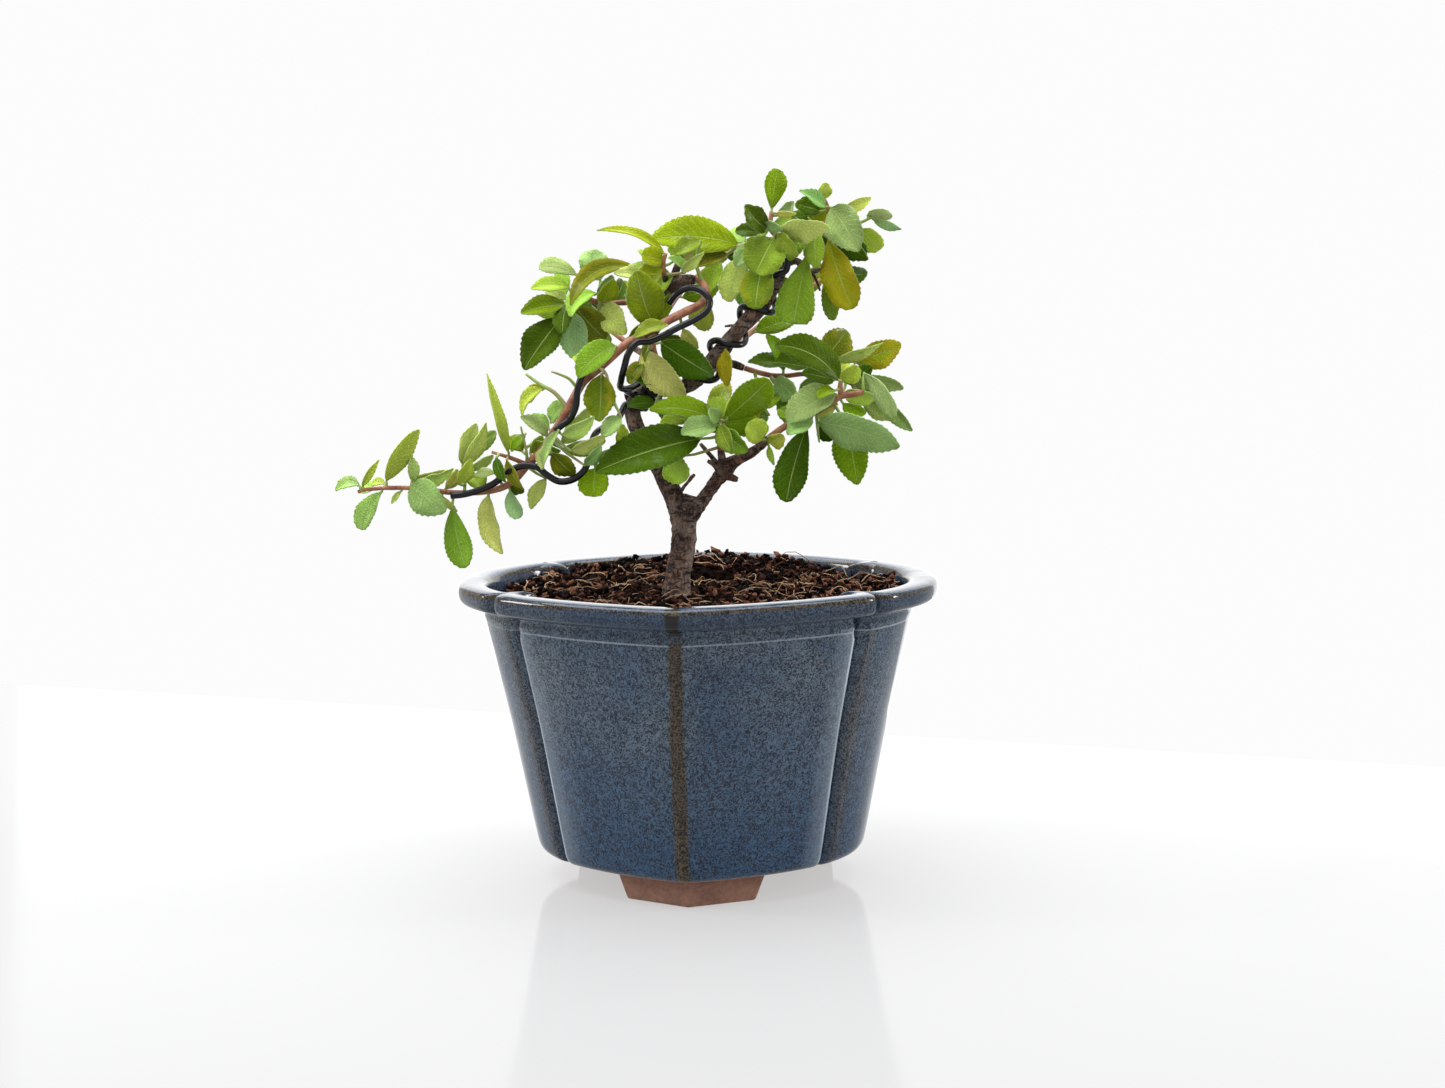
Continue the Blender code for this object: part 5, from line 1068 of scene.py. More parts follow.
young_bark, tree, shader, place = new_surface("red_brown_shoot")
streaks = patchy(tree, place, 260.0, 4.0, 0.4, 0.35, 0.66)
spots = patchy(tree, place, 1100.0, 2.0, 0.2, 0.60, 0.70)
young = mixed(tree, streaks, (0.190, 0.052, 0.026), (0.390, 0.175, 0.080))
feed(tree, shader, {
    "Base Color": mixed(tree, scaled(tree, spots, 0.5), young, (0.45, 0.32, 0.20)),
    "Roughness": 0.55,
})
roughen(tree, shader, streaks, 0.4, 0.0003)

green_stalk, tree, shader, place = new_surface("green_leaf_stalk")
flush = patchy(tree, place, 180.0, 2.0, 0.2, 0.42, 0.62)
feed(tree, shader, {
    "Base Color": mixed(tree, flush, (0.25, 0.38, 0.07), (0.30, 0.26, 0.10)),
    "Roughness": 0.5,
})
roughen(tree, shader, flush, 0.2, 0.0002)


def twig_relief(spot):
    """Slight swellings along a young shoot."""
    return 0.10 * noise.noise(spot * 0.6)


def leaf_piece(name, node, leaves, rng):
    """Blades as one piece, given their thickness, with the glossy upper side to the front."""
    bm = bmesh.new()
    layers = bm.loops.layers.uv.new("blade"), bm.verts.layers.float_color.new("tint")
    for leaf in leaves:
        add_blade(bm, layers, leaf, rng)
    blades = finish_piece(name, bm, [leaf_back, leaf_skin], "leaf", node)
    shell = blades.modifiers.new("Leaf thickness", "SOLIDIFY")
    shell.thickness = BLADE_THICK * MM
    shell.offset = 0.0
    shell.material_offset = 1


def leafy(name, node, stems, leaves, seed):
    """A spray: its twigs, its leaf stalks and its blades, in place of the CAD node."""
    runs = [stem_run(stations, STEM_STEP) for stations in stems]
    paths = [points for points, radii in runs]
    woody = [run for run, stations in zip(runs, stems) if stations[0][3] > THIN_STEM]
    green = [run for run, stations in zip(runs, stems) if stations[0][3] <= THIN_STEM]
    if woody:
        twigs = tubes_mesh(name + "_twigs", woody, TWIG_SIDES, twig_relief)
        link_piece(name + "_twigs", twigs, [young_bark], "bark", node)
    if green:
        shoots = tubes_mesh(name + "_shoots", green, SHOOT_SIDES)
        link_piece(name + "_shoots", shoots, [green_stalk], "bark", node)
    stalks = tubes_mesh(name + "_stalks", [stalk(paths, leaf) for leaf in leaves], STALK_SIDES)
    link_piece(name + "_stalks", stalks, [green_stalk], "leaf", node)
    leaf_piece(name + "_leaves", node, leaves, random.Random(seed))


# Leaf on the old wood: one yellow leaf that hangs from a stub half way up the left limb.
# A leaf, here and below, is given as seen from the front: its base and its tip (across, up, back), width,
# turn about its length in degrees, arch, bend to the side, outline and look.
LIMB_LEAF = (11.2, 174.6, -4.2, 11.6, 162.4, -5.5, 6.0, 25, 0.6, 0.0, "oval", "yellow")
limb_stalk = stalk([stem_run(LEAF_STUB, STEM_STEP)[0]], LIMB_LEAF)
leaf_piece("yellow_leaf", "trunk", [LIMB_LEAF], random.Random(3))
limb_stalk_mesh = tubes_mesh("yellow_leaf_stalk", [limb_stalk], STALK_SIDES)
link_piece("yellow_leaf_stalk", limb_stalk_mesh, [green_stalk], "leaf")


# Cascade shoot: the long reddish shoot that arches over from the crown limb and runs down to the left.
# It grew there and was bent down by its wires; short side twigs and single leaves stand all along it.
CASCADE_STEMS = (
    (
        (1.9, 197.6, 0.3, 1.3), (3.4, 197.2, -0.6, 1.35), (5.1, 192.6, -4.6, 1.35), (2.6, 189.4, -8, 1.35),
        (-2, 187.2, -10, 1.4), (-7, 184.8, -12, 1.4), (-12, 182, -13.5, 1.4), (-17, 179.5, -14.5, 1.4),
        (-22.5, 176.3, -15.5, 1.4), (-27, 172.5, -16, 1.4), (-31.5, 168.6, -16, 1.4),
        (-36.3, 164.6, -15.5, 1.4), (-39.5, 159.5, -15, 1.45), (-42, 155, -14.5, 1.5),
        (-44.6, 150.6, -14, 1.5), (-48.2, 145.6, -13.5, 1.35), (-51.5, 141, -13, 1.35),
        (-55.5, 137.5, -12.5, 1.4), (-59, 133.4, -12, 1.4), (-63, 130.2, -11.5, 1.15),
        (-69, 128.4, -11, 1.0), (-76, 128, -10.5, 0.95), (-82, 128.2, -10, 0.9), (-90, 129.5, -9.5, 0.85),
        (-97, 130, -9, 0.8), (-104, 130, -8.5, 0.7), (-110, 129.6, -8, 0.65), (-112.6, 128.8, -8, 0.6),
    ),
    ((-42, 156, -14.5, 0.8), (-46, 161, -14, 0.7), (-51, 164, -13.5, 0.6), (-55.5, 167.4, -13, 0.4)),
    ((-38.2, 162, -15.2, 0.6), (-41, 165.5, -16, 0.5), (-44.5, 167.2, -17, 0.4), (-47, 168.1, -17.5, 0.3)),
    ((-30.8, 169, -16.5, 0.7), (-28.6, 166.6, -18.8, 0.5), (-27.3, 160.2, -19.5, 0.3)),
    ((-56, 137.3, -12.5, 0.9), (-61.5, 139.6, -12.3, 0.7), (-67.5, 141.6, -12, 0.5)),
    ((-77, 128.2, -10.5, 0.6), (-76.4, 134, -9.2, 0.55), (-75.2, 141, -8, 0.45)),
    ((-55.8, 138, -13, 0.6), (-56, 142, -14.2, 0.45), (-57.6, 150, -15.4, 0.3)),
    ((3.8, 197, -1, 0.8), (1.8, 203, -3, 0.6), (3.3, 210.4, -4.4, 0.5)),
)
CASCADE_LEAVES = (
    (-112, 131, -8, -120, 129.2, -8.5, 6.0, 45, 0.8, 1.4, "lance", "blue"),
    (-111, 130.6, -8, -105.2, 139.5, -10, 3.4, 40, 0.8, -1.4, "lance", "light"),
    (-103, 132.4, -8.6, -91.5, 149.3, -6, 8.0, 35, 1.2, -2.4, "oval", "light"),
    (-103.5, 131.4, -7.5, -108.6, 130.8, -3, 3.6, 40, 0.5, 0.8, "lance", "light"),
    (-104.6, 128.9, -9, -111.8, 116, -11.5, 7.5, 20, 1.2, 1.0, "spoon", "blue"),
    (-94, 131.6, -9.6, -94.2, 140.3, -8.5, 4.4, 20, 0.5, 0.0, "oval", "blue"),
    (-94.5, 131.3, -10.4, -83.4, 121.8, -15, 12.5, 15, 1.2, 0.0, "oval", "blue"),
    (-94.5, 132.6, -8, -81.6, 134.8, -2, 7.0, 40, 1.0, -0.8, "oval", "pale"),
    (-81.2, 123.6, -11.2, -77.4, 102.7, -14, 10.0, 15, -1.0, 0.8, "spoon", "fresh"),
    (-77.4, 137.6, -9, -72.3, 151, -6, 8.5, 35, 0.8, -1.6, "oval", "pale"),
    (-75, 142.2, -7, -66, 148.5, -2, 6.0, 25, 0.8, 0.0, "oval", "blue"),
    (-61.8, 141, -13, -68.4, 167.8, -16, 5.4, 45, 1.6, -2.4, "lance", "light"),
    (-66, 139.8, -15.5, -63.2, 131.4, -19, 4.0, 15, 0.5, 0.4, "lance", "deep"),
    (-57.2, 141.5, -11, -63, 145.6, -8, 7.0, 30, 0.8, 0.4, "oval", "mid"),
    (-54.8, 141, -11, -50.3, 146.4, -8, 5.4, 30, 0.5, -0.4, "oval", "light"),
    (-48.8, 146.4, -14.5, -57.6, 153.2, -18.5, 5.4, 30, 0.8, 0.6, "oval", "blue"),
    (-48.2, 149, -12, -54, 153.8, -8, 5.0, 30, 0.5, 0.0, "oval", "blue"),
    (-49.4, 162.6, -13.6, -57, 153.6, -15, 4.8, 30, 0.8, 2.2, "lance", "light"),
    (-50.6, 163.6, -12.5, -55.3, 158.5, -8.5, 5.4, 30, 0.5, 0.0, "round", "light"),
    (-42, 157.2, -13, -47.8, 151.9, -9, 7.5, 40, 0.8, 0.0, "round", "blue"),
    (-69, 127.2, -12, -64.8, 107.3, -13.5, 8.6, 35, -1.2, 2.6, "oval", "pale"),
    (-61.8, 129, -12, -58.6, 119.3, -14, 6.2, 25, 0.5, 0.4, "spoon", "silver"),
    (-61.6, 131, -11.5, -57, 128, -12.5, 4.6, 35, 0.5, 0.0, "lance", "deep"),
    (-49.6, 132.4, -8, -55, 122.3, -9, 6.0, 30, 0.5, 0.0, "oval", "pale"),
    (-48.6, 143.4, -16, -50.6, 135.4, -20, 4.2, 40, 0.5, 1.0, "lance", "blue"),
    (-75.6, 135.8, -8.6, -67, 140.5, -6, 4.2, 35, 0.5, 0.0, "oval", "pale"),
    (-83.4, 129.4, -9, -79.2, 136, -7, 5.2, 40, 0.5, 0.0, "oval", "pale"),
    (-44.4, 144, -12.6, -34.3, 156.3, -10, 8.2, 35, 0.8, 0.0, "lance", "pale"),
    (-43.8, 142.4, -10.5, -29.4, 144.8, -5, 7.0, 40, 0.8, 0.0, "oval", "pale"),
    (-30.4, 167, -18.6, -31.4, 151.2, -20.5, 11.5, 15, -0.8, 0.0, "oval", "olive"),
    (-25.2, 176.2, -17, -38, 165.8, -21.5, 10.0, 20, 0.8, 1.4, "oval", "fresh"),
    (-8.2, 182.8, -15.8, -19, 178.8, -23, 5.6, 30, 0.8, 0.8, "oval", "fresh"),
    (-12.4, 179.6, -12.4, -15.8, 170.8, -12.5, 3.8, 40, 0.5, 0.6, "lance", "olive"),
    (3.2, 210.2, -4, -5.4, 206, -8, 6.8, 30, 0.8, 0.0, "oval", "fresh"),
    (5.2, 191.4, -2.4, 3.4, 181, 3, 9.5, 20, 0.8, 0.0, "oval", "light"),
    (-3, 181.6, -8, 1.8, 174.8, -7, 5.6, 30, 0.5, 0.0, "oval", "pale"),
    (-31.6, 168.4, -13.5, -38.5, 173.4, -5.5, 8.0, 30, 0.8, 0.0, "oval", "light"),
    (-88, 129, -8, -85.6, 123.5, 2, 9.0, 20, 0.8, 0.0, "oval", "fresh"),
    (-107, 129.6, -6.5, -111.6, 129.8, 3, 6.0, 30, 0.6, 0.0, "oval", "pale"),
    (-71, 128.8, -9, -74.6, 132.6, 0, 8.0, 30, 0.8, 0.0, "oval", "mid"),
    (-45, 148.5, -19, -50.4, 136, -21, 4.0, 30, 0.5, 1.0, "lance", "blue"),
    (-44, 147, -19, -33, 153, -21, 6.5, 30, 0.8, 0.6, "lance", "pale"),
    (-41, 141.5, -18.5, -29.5, 146.5, -20, 6.0, 35, 0.6, 0.0, "oval", "pale"),
    (-47.5, 141, -17, -40, 133.6, -14, 8.0, 25, 0.6, 0.0, "oval", "olive"),
    (-36.5, 136.6, -18, -31, 143.5, -21, 5.5, 35, 0.5, 0.0, "lance", "blue"),
    (-24, 152.6, -20, -30.4, 146.2, -22, 6.5, 25, 0.6, 0.0, "oval", "blue"),
    (-62.6, 139, -15, -57, 128.6, -17, 4.5, 30, 0.6, 0.5, "lance", "olive"),
    (-77.5, 137, -10, -69.2, 151.5, -9, 6.5, 35, 0.8, 0.6, "lance", "pale"),
    (-79, 131, -12, -74.5, 139.5, -12, 6.0, 30, 0.5, 0.0, "lance", "light"),
    (-66.5, 134.5, -14, -74, 133.4, -12, 4.4, 40, 0.5, 0.0, "lance", "blue"),
    (-92, 132.5, -12, -80.5, 136.3, -10, 5.4, 40, 0.8, 0.8, "lance", "pale"),
    (-54, 144.5, -9, -44.5, 141.6, -16, 5.0, 30, 0.5, 0.0, "oval", "fresh"),
    (-84.5, 127, -8, -79.6, 121.8, -6, 3.0, 35, 0.4, 0.0, "lance", "pale"),
    (-98, 129, -9, -101.5, 124.8, -8, 2.4, 35, 0.3, 0.0, "lance", "pale"),
    (-56, 147.6, -12, -61, 141.6, -15, 4.0, 35, 0.4, 0.0, "lance", "mid"),
)
leafy("cascade", "cascade_shoot", CASCADE_STEMS, CASCADE_LEAVES, 21)


# Low left sprig: a short green sprig with three leaves.
# It has grown from a pruned stub on the left limb, above the trunk's fork.
LOW_LEFT_STEMS = (
    ((-20.4, 143.3, -6.4, 0.8), (-25, 141.8, -8.4, 0.75), (-29, 141.2, -9.6, 0.7),
     (-31.8, 139.4, -10.4, 0.65), (-33, 136.6, -11, 0.6)),
)
LOW_LEFT_LEAVES = (
    (-33, 135.6, -11.4, -33.6, 126, -14, 11.5, 15, 0.8, 0.0, "round", "lime"),
    (-24.2, 142.6, -8.6, -24.2, 150.4, -9.5, 5.2, 20, 0.5, 0.0, "oval", "light"),
    (-28, 141.4, -9, -27, 136.4, 0, 7.0, 30, 0.5, 0.0, "oval", "pale"),
)
leafy("low_left", "low_left_sprig", LOW_LEFT_STEMS, LOW_LEFT_LEAVES, 22)


# Left spray: the dense leaves at the upper left, dark old ones below and pale young ones above.
# They stand on a level twig that grows from a stub of the crown limb.
LEFT_STEMS = (
    ((-20.3, 190.6, 8.1, 1.1), (-25, 190.4, 7, 1.0), (-30, 190.2, 5.5, 1.0), (-34, 191.8, 4.5, 0.9),
     (-38, 191.4, 4, 0.8), (-41.4, 190.4, 4, 0.65)),
    ((-30.6, 193.6, 5, 0.7), (-30.4, 190, 5.2, 1.1), (-30, 186, 4, 0.8)),
)
LEFT_LEAVES = (
    (-30, 198, 5.5, -33.2, 207.8, 7, 10.5, 10, 0.8, -0.6, "round", "silver"),
    (-31, 193.4, 5, -26, 199.6, 2.5, 5.6, 30, 0.5, 0.0, "oval", "silver"),
    (-37.4, 199.6, 6.5, -50.2, 202.6, 9, 7.4, 35, 0.8, 0.5, "spoon", "blue"),
    (-40.4, 195.8, 5, -53, 195.4, 3, 6.2, 30, 0.8, 0.8, "oval", "light"),
    (-41, 191.6, 5.5, -48.2, 194.4, 9, 4.6, 35, 0.5, 0.0, "oval", "pale"),
    (-42, 190, 3.5, -56.6, 187.6, 0, 8.0, 30, 0.8, 0.2, "oval", "mid"),
    (-43.6, 185.2, 1.5, -56, 168.8, -3, 12.8, 20, 1.2, 0.0, "oval", "deep"),
    (-41.3, 189.6, 2, -43, 180.4, -4.5, 7.6, 30, 0.8, 0.0, "oval", "deep"),
    (-38, 188.8, 4.5, -28.6, 178.5, 4, 12.8, 20, 0.8, 0.0, "oval", "olive"),
    (-38.8, 187.2, 3, -37.6, 171, 1, 11.0, 20, 0.8, 0.0, "oval", "silver"),
    (-31.4, 193.6, 4, -40, 186, -5, 7.4, 35, 1.2, 2.0, "oval", "light"),
    (-29.6, 190.8, 4, -25.6, 198.2, -3, 7.4, 25, 0.5, 0.0, "oval", "lime"),
    (-29, 190, 4, -21.8, 180.2, -2, 10.0, 20, 0.8, 0.0, "oval", "pale"),
    (-26, 190.6, 8.4, -22.6, 197.6, 17, 8.0, 30, 0.8, 0.0, "oval", "deep"),
    (-33, 191.8, 6, -39, 184, 15, 9.5, 25, 0.8, 0.0, "oval", "fresh"),
)
leafy("left", "left_spray", LEFT_STEMS, LEFT_LEAVES, 23)


# Crown spray: lime and pale young growth.
# It grows straight up and to the left from a knob on top of the crown limb.
CROWN_STEMS = (
    ((-8.7, 199.6, -0.8, 0.9), (-9.2, 203, -1.8, 0.8), (-8.2, 206.4, -2.6, 0.6)),
    ((-8.9, 201, -1.2, 0.7), (-13, 203, -0.5, 0.6), (-17.5, 202.5, 0, 0.5)),
)
CROWN_LEAVES = (
    (-8.6, 206.4, -2.6, -30.8, 214.2, -6, 4.8, 45, 1.4, 2.8, "lance", "lime"),
    (-9.4, 203.8, -2.2, -16.2, 206.2, -5, 7.6, 20, 0.5, 0.0, "round", "lime"),
    (-9.2, 201.2, -1.6, -17.2, 200.6, -5, 5.6, 25, 0.5, 0.0, "oval", "lime"),
    (-18.6, 202.3, -0.4, -40, 189.8, -9.5, 7.4, 35, 1.6, 5.0, "oval", "olive"),
    (-12, 202, 0.6, -24.5, 199.4, -1.5, 5.0, 40, 0.8, 0.0, "lance", "pale"),
    (-10, 200.4, -1, -14.4, 195.6, -3.5, 4.6, 30, 0.3, 0.0, "oval", "light"),
    (-12.6, 203.2, 0.6, -15.6, 207.6, 8, 7.0, 30, 0.6, 0.0, "oval", "lime"),
    (-2, 200, -3, -7.5, 205, -7, 4.0, 30, 0.5, 1.2, "lance", "pale"),
    (-3, 200, -4, 4.4, 206.5, -8, 4.4, 30, 0.5, -0.8, "lance", "pale"),
    (-6, 199, 0, -13.5, 192.5, 3, 6.5, 25, 0.6, 0.4, "oval", "light"),
    (-10, 200, 3, -21, 196.8, 4, 6.0, 30, 0.6, 0.0, "oval", "light"),
    (-16, 199.5, -2, -25.5, 200.2, -4, 5.0, 30, 0.6, 0.0, "lance", "pale"),
    (-5.5, 204, 4, 1.5, 208.2, 2, 5.5, 25, 0.5, 0.0, "oval", "pale"),
)
leafy("crown", "crown_spray", CROWN_STEMS, CROWN_LEAVES, 24)


# Inner spray: broad old leaves inside the tree, behind the arch of the cascade shoot.
# Their twig grows up from the left limb's upper bend.
INNER_STEMS = (
    ((-9.7, 163, -2.4, 0.9), (-10.2, 166, -4.6, 0.9), (-11.6, 171, -6, 0.85), (-13, 177, -6.2, 0.8),
     (-13.4, 182, -5.6, 0.7)),
)
INNER_LEAVES = (
    (-13, 183, -5.8, -18, 201, -8.5, 13.8, 15, 0.8, -0.8, "oval", "mid"),
    (-14, 181, -4.6, -22, 193.6, -4.5, 5.8, 30, 0.8, 0.0, "oval", "mid"),
    (-16.6, 174.6, -7, -2.4, 158.8, -9, 12.0, 25, 1.2, 0.0, "oval", "pale"),
    (-10.4, 177.2, -6.6, 7, 165.8, -9.5, 12.2, 15, 0.8, 0.0, "oval", "deep"),
    (-10.8, 179.4, -5, -2.6, 177, -2.5, 6.4, 30, 0.5, 0.0, "oval", "olive"),
    (-12, 183.6, -4, -7, 193.2, -1.6, 5.0, 25, 0.5, 0.0, "oval", "mid"),
    (-11.6, 164.6, -4.6, -21, 166.8, -8.5, 8.4, 30, 0.8, 0.0, "oval", "deep"),
    (-12.6, 157, -6.6, -22, 156.4, -10.5, 5.4, 25, 0.8, 0.0, "oval", "deep"),
    (-16.6, 171, -7, -21.2, 163.6, -9.4, 6.0, 25, 0.5, 0.0, "oval", "olive"),
)
leafy("inner", "inner_spray", INNER_STEMS, INNER_LEAVES, 25)


# Apex, left half: leaves round the tree's top, and the big lime leaf that reaches left.
# They stand on two thin shoots from the end of the left limb.
APEX_LEFT_STEMS = (
    ((29.5, 209.6, -0.7, 1.05), (28.6, 211.6, -1.6, 1.0), (26.9, 213.2, -2.2, 0.95),
     (26.5, 216.2, -2.7, 0.85), (26.8, 219.6, -3, 0.65)),
    ((28.6, 211, -1.2, 0.8), (23, 210, 3, 0.7), (17, 208.8, 4.4, 0.65), (12.5, 206.2, 5.2, 0.6),
     (10, 204.2, 5.2, 0.5)),
)
APEX_LEFT_LEAVES = (
    (26.9, 220, -3, 29, 233.4, -1.5, 8.2, 20, 0.4, -0.4, "spoon", "mid"),
    (25.2, 214.2, -3.4, 18.3, 222, -7, 8.6, 30, 0.8, -1.6, "oval", "deep"),
    (22.6, 212.8, -2.2, 14.8, 213.2, -3, 6.2, 35, 0.5, 0.0, "oval", "deep"),
    (27.4, 210.8, -4, 21.3, 199.3, -8, 15.5, 10, 0.8, 0.0, "round", "fresh"),
    (20.6, 208.4, 2.4, 14.8, 201.8, -1, 7.0, 25, 0.5, 0.0, "oval", "blue"),
    (17.4, 204.2, 4, 12, 190.3, 2, 9.8, 20, 0.8, 0.0, "round", "pale"),
    (23.4, 201.4, -4, 21, 187.7, -9.5, 12.2, 15, 0.8, 0.0, "round", "olive"),
    (27.2, 215.6, -2, 33.2, 217.8, 0.5, 5.4, 30, 0.4, 0.0, "oval", "pale"),
    (28, 219, -3.2, 35, 218.8, -5.5, 2.8, 30, 0.3, 0.0, "lance", "pale"),
    (28.4, 218.2, -2, 34.2, 222.6, 2, 5.0, 30, 0.3, 0.0, "oval", "silver"),
    (15.8, 208.8, 5, -13.8, 210.8, 4, 13.5, 20, 1.6, 1.6, "oval", "lime"),
    (12, 205.8, 4.6, 2.2, 202, 1, 7.0, 30, 0.8, 0.4, "oval", "olive"),
    (9.8, 203.6, 4.8, 4.6, 192.8, 4.5, 8.0, 25, 0.8, 0.0, "oval", "light"),
    (30.2, 212.2, -3.6, 45.8, 214, -10.5, 10.0, 35, 1.2, -2.2, "oval", "pale"),
    (24, 210.6, 3.4, 20, 216.4, 11, 8.0, 25, 0.6, 0.0, "oval", "fresh"),
    (18, 209.4, 5.4, 12.6, 213, 13, 8.0, 25, 0.6, 0.0, "oval", "blue"),
    (29, 212.5, -6, 35.5, 205, -9, 6.5, 25, 0.6, 0.0, "oval", "fresh"),
    (25, 216, -5, 30.5, 213.6, -8, 4.5, 30, 0.4, 0.0, "lance", "blue"),
)
leafy("apex_left", "apex_left_spray", APEX_LEFT_STEMS, APEX_LEFT_LEAVES, 26)


# Apex, right half: broad leaves to the right of the top, one yellowing, one torn.
# Their two shoots grow from a stub beside the limb's end.
APEX_RIGHT_STEMS = (
    ((35.6, 207.9, 2.7, 1.0), (39, 210.5, 2.9, 0.95), (43, 213, 2.6, 0.9), (45.4, 217, 2, 0.8),
     (45.3, 221, 1, 0.7), (44.2, 223.6, 0, 0.5)),
    ((44, 214.2, 2.6, 0.8), (50, 214.4, 4, 0.7), (56, 215.6, 4, 0.6), (60, 217.4, 3, 0.45)),
)
APEX_RIGHT_LEAVES = (
    (42.8, 219.4, 1, 34.6, 221.8, -1, 7.6, 30, 0.5, 0.0, "oval", "deep"),
    (44.8, 220.8, 0, 36, 226.3, -6, 5.4, 35, 0.8, 0.0, "lance", "blue"),
    (43.8, 223.2, -0.4, 44.6, 228.8, -2, 5.4, 20, 0.2, 0.0, "oval", "light"),
    (46.6, 220.6, -0.6, 55.6, 206.2, -7, 13.5, 12, 0.8, -0.8, "oval", "blue"),
    (49.5, 219.6, 1.6, 59.6, 223.6, 5, 5.0, 30, 0.5, 0.0, "oval", "pale"),
    (58.4, 217.8, 3.4, 66.6, 217.2, 2, 5.6, 30, 0.5, -1.2, "oval", "silver"),
    (60, 217, 3, 69.6, 213.2, 4.5, 4.0, 35, 0.5, 0.0, "lance", "silver"),
    (46.8, 213.4, 3, 58.6, 203.4, 0.5, 9.0, 40, 0.8, -0.4, "oval", "deep"),
    (56.4, 213.6, 4.8, 62.8, 206.8, 6, 9.0, 25, 0.5, 0.0, "round", "light"),
    (41.4, 212.2, 0.6, 41.6, 200.8, -5, 8.0, 25, 0.8, 0.0, "oval", "fresh"),
    (45.4, 210.6, 1, 53.4, 187.3, -3, 13.2, 20, 1.2, 0.0, "spoon", "yellow"),
    (47.2, 203, 5, 46.8, 183.6, 3, 7.2, 25, 0.6, 0.0, "spoon", "fresh"),
    (39, 207.4, -0.4, 33.8, 182.6, -4, 14.5, 15, 0.8, 0.0, "torn", "fresh"),
    (50, 214.8, 5.4, 48.6, 219, 14, 8.5, 25, 0.6, 0.0, "oval", "silver"),
    (46.8, 213.6, 5, 47.8, 206, 13, 9.0, 25, 0.6, 0.0, "oval", "deep"),
    (38.5, 213.5, -2, 32.5, 203.5, -5, 7.5, 25, 0.6, 0.0, "oval", "mid"),
    (39, 217.5, 4, 46.5, 220.5, 4, 7.0, 30, 0.6, 0.0, "oval", "lime"),
    (40, 214, 5, 33, 218.5, 6, 8.0, 25, 0.6, 0.0, "oval", "deep"),
    (50.5, 212, 4, 57.5, 204, 7, 9.5, 25, 0.6, 0.0, "oval", "deep"),
)
leafy("apex_right", "apex_right_spray", APEX_RIGHT_STEMS, APEX_RIGHT_LEAVES, 27)


# Middle right spray: a level spray of dark, blue-green and yellowing leaves, and one dry brown one.
# Its long thin shoot grows from a stub at the left limb's second bend.
MIDDLE_STEMS = (
    ((17.3, 168.3, 2.1, 1.0), (20.5, 167.2, 2.6, 0.9), (26, 165.8, 3.2, 0.9), (31.5, 165.6, 3.8, 0.85),
     (37, 166, 4.2, 0.8), (43, 165.2, 4.8, 0.8), (49, 164, 5.2, 0.7), (53, 162.4, 5.2, 0.6)),
    ((26, 165.6, 3.2, 0.8), (27.2, 163.4, 1.6, 0.75), (30, 161.2, 0.6, 0.6), (33, 158.8, 0, 0.5)),
    ((20.6, 167, 2.4, 0.6), (21.8, 161, 0, 0.55), (23, 156.5, -1, 0.5), (25.4, 152.3, -1.6, 0.4)),
)
MIDDLE_LEAVES = (
    (43, 170.4, 4, 51.4, 180.2, 7, 12.8, 20, 0.8, 0.0, "oval", "olive"),
    (30.2, 167.2, 2.4, 24.6, 179.2, -0.5, 6.6, 30, 0.8, 1.0, "oval", "mid"),
    (38.4, 168.2, 2.6, 18.4, 170.2, -3, 8.6, 45, 0.8, 0.0, "oval", "deep"),
    (39.6, 168.6, 5, 31, 174.8, 8, 7.0, 25, 0.5, 0.0, "oval", "deep"),
    (46, 170, 4.4, 63.3, 176, 2.4, 5.0, 40, 0.6, 0.0, "lance", "pale"),
    (54, 169.6, 6, 69.3, 175.6, 9, 10.5, 20, 0.8, 0.0, "oval", "yellow"),
    (47, 163.8, 3, 36.3, 166.4, -2, 7.6, 25, 0.6, 0.0, "oval", "deep"),
    (50.4, 163.4, 4.2, 59.5, 168.3, 4, 8.0, 30, 0.5, 0.0, "oval", "deep"),
    (53.2, 161.4, 4.6, 70, 160.6, 3, 7.6, 30, 0.8, -2.8, "oval", "blue"),
    (53.4, 160.6, 4.4, 64.8, 153.8, 3, 5.0, 30, 0.5, -0.4, "lance", "silver"),
    (60.4, 159.4, 5.4, 73, 146.6, 4.5, 6.4, 25, 0.5, 0.0, "oval", "blue"),
    (29.4, 160.4, 0.2, 24.8, 154.8, -3, 5.4, 30, 0.4, 0.0, "oval", "mid"),
    (30.6, 160.2, 0.2, 31.2, 149.6, -1.5, 6.0, 30, 0.4, 0.0, "oval", "fresh"),
    (33, 158.4, 0.4, 30.4, 153.6, 4.5, 4.8, 30, 0.3, 0.0, "oval", "deep"),
    (27.4, 164.4, 0.8, 35.2, 156.8, -4, 8.4, 25, 0.8, -0.8, "oval", "blue"),
    (21.6, 158.6, 0.6, 21, 147.6, 1.6, 5.2, 35, 0.4, 0.0, "lance", "brown"),
    (41, 165.2, 6, 40, 158, 14, 9.0, 25, 0.6, 0.0, "oval", "blue"),
    (47, 164.6, 6.4, 50.6, 171, 14.5, 9.0, 25, 0.6, 0.0, "oval", "light"),
    (50, 159.5, -3, 61, 158, -6, 7.0, 30, 0.6, 0.0, "oval", "pale"),
    (57, 158.5, -2, 66, 150.5, -5, 7.0, 25, 0.6, 0.0, "oval", "blue"),
)
leafy("middle_right", "middle_right_spray", MIDDLE_STEMS, MIDDLE_LEAVES, 28)


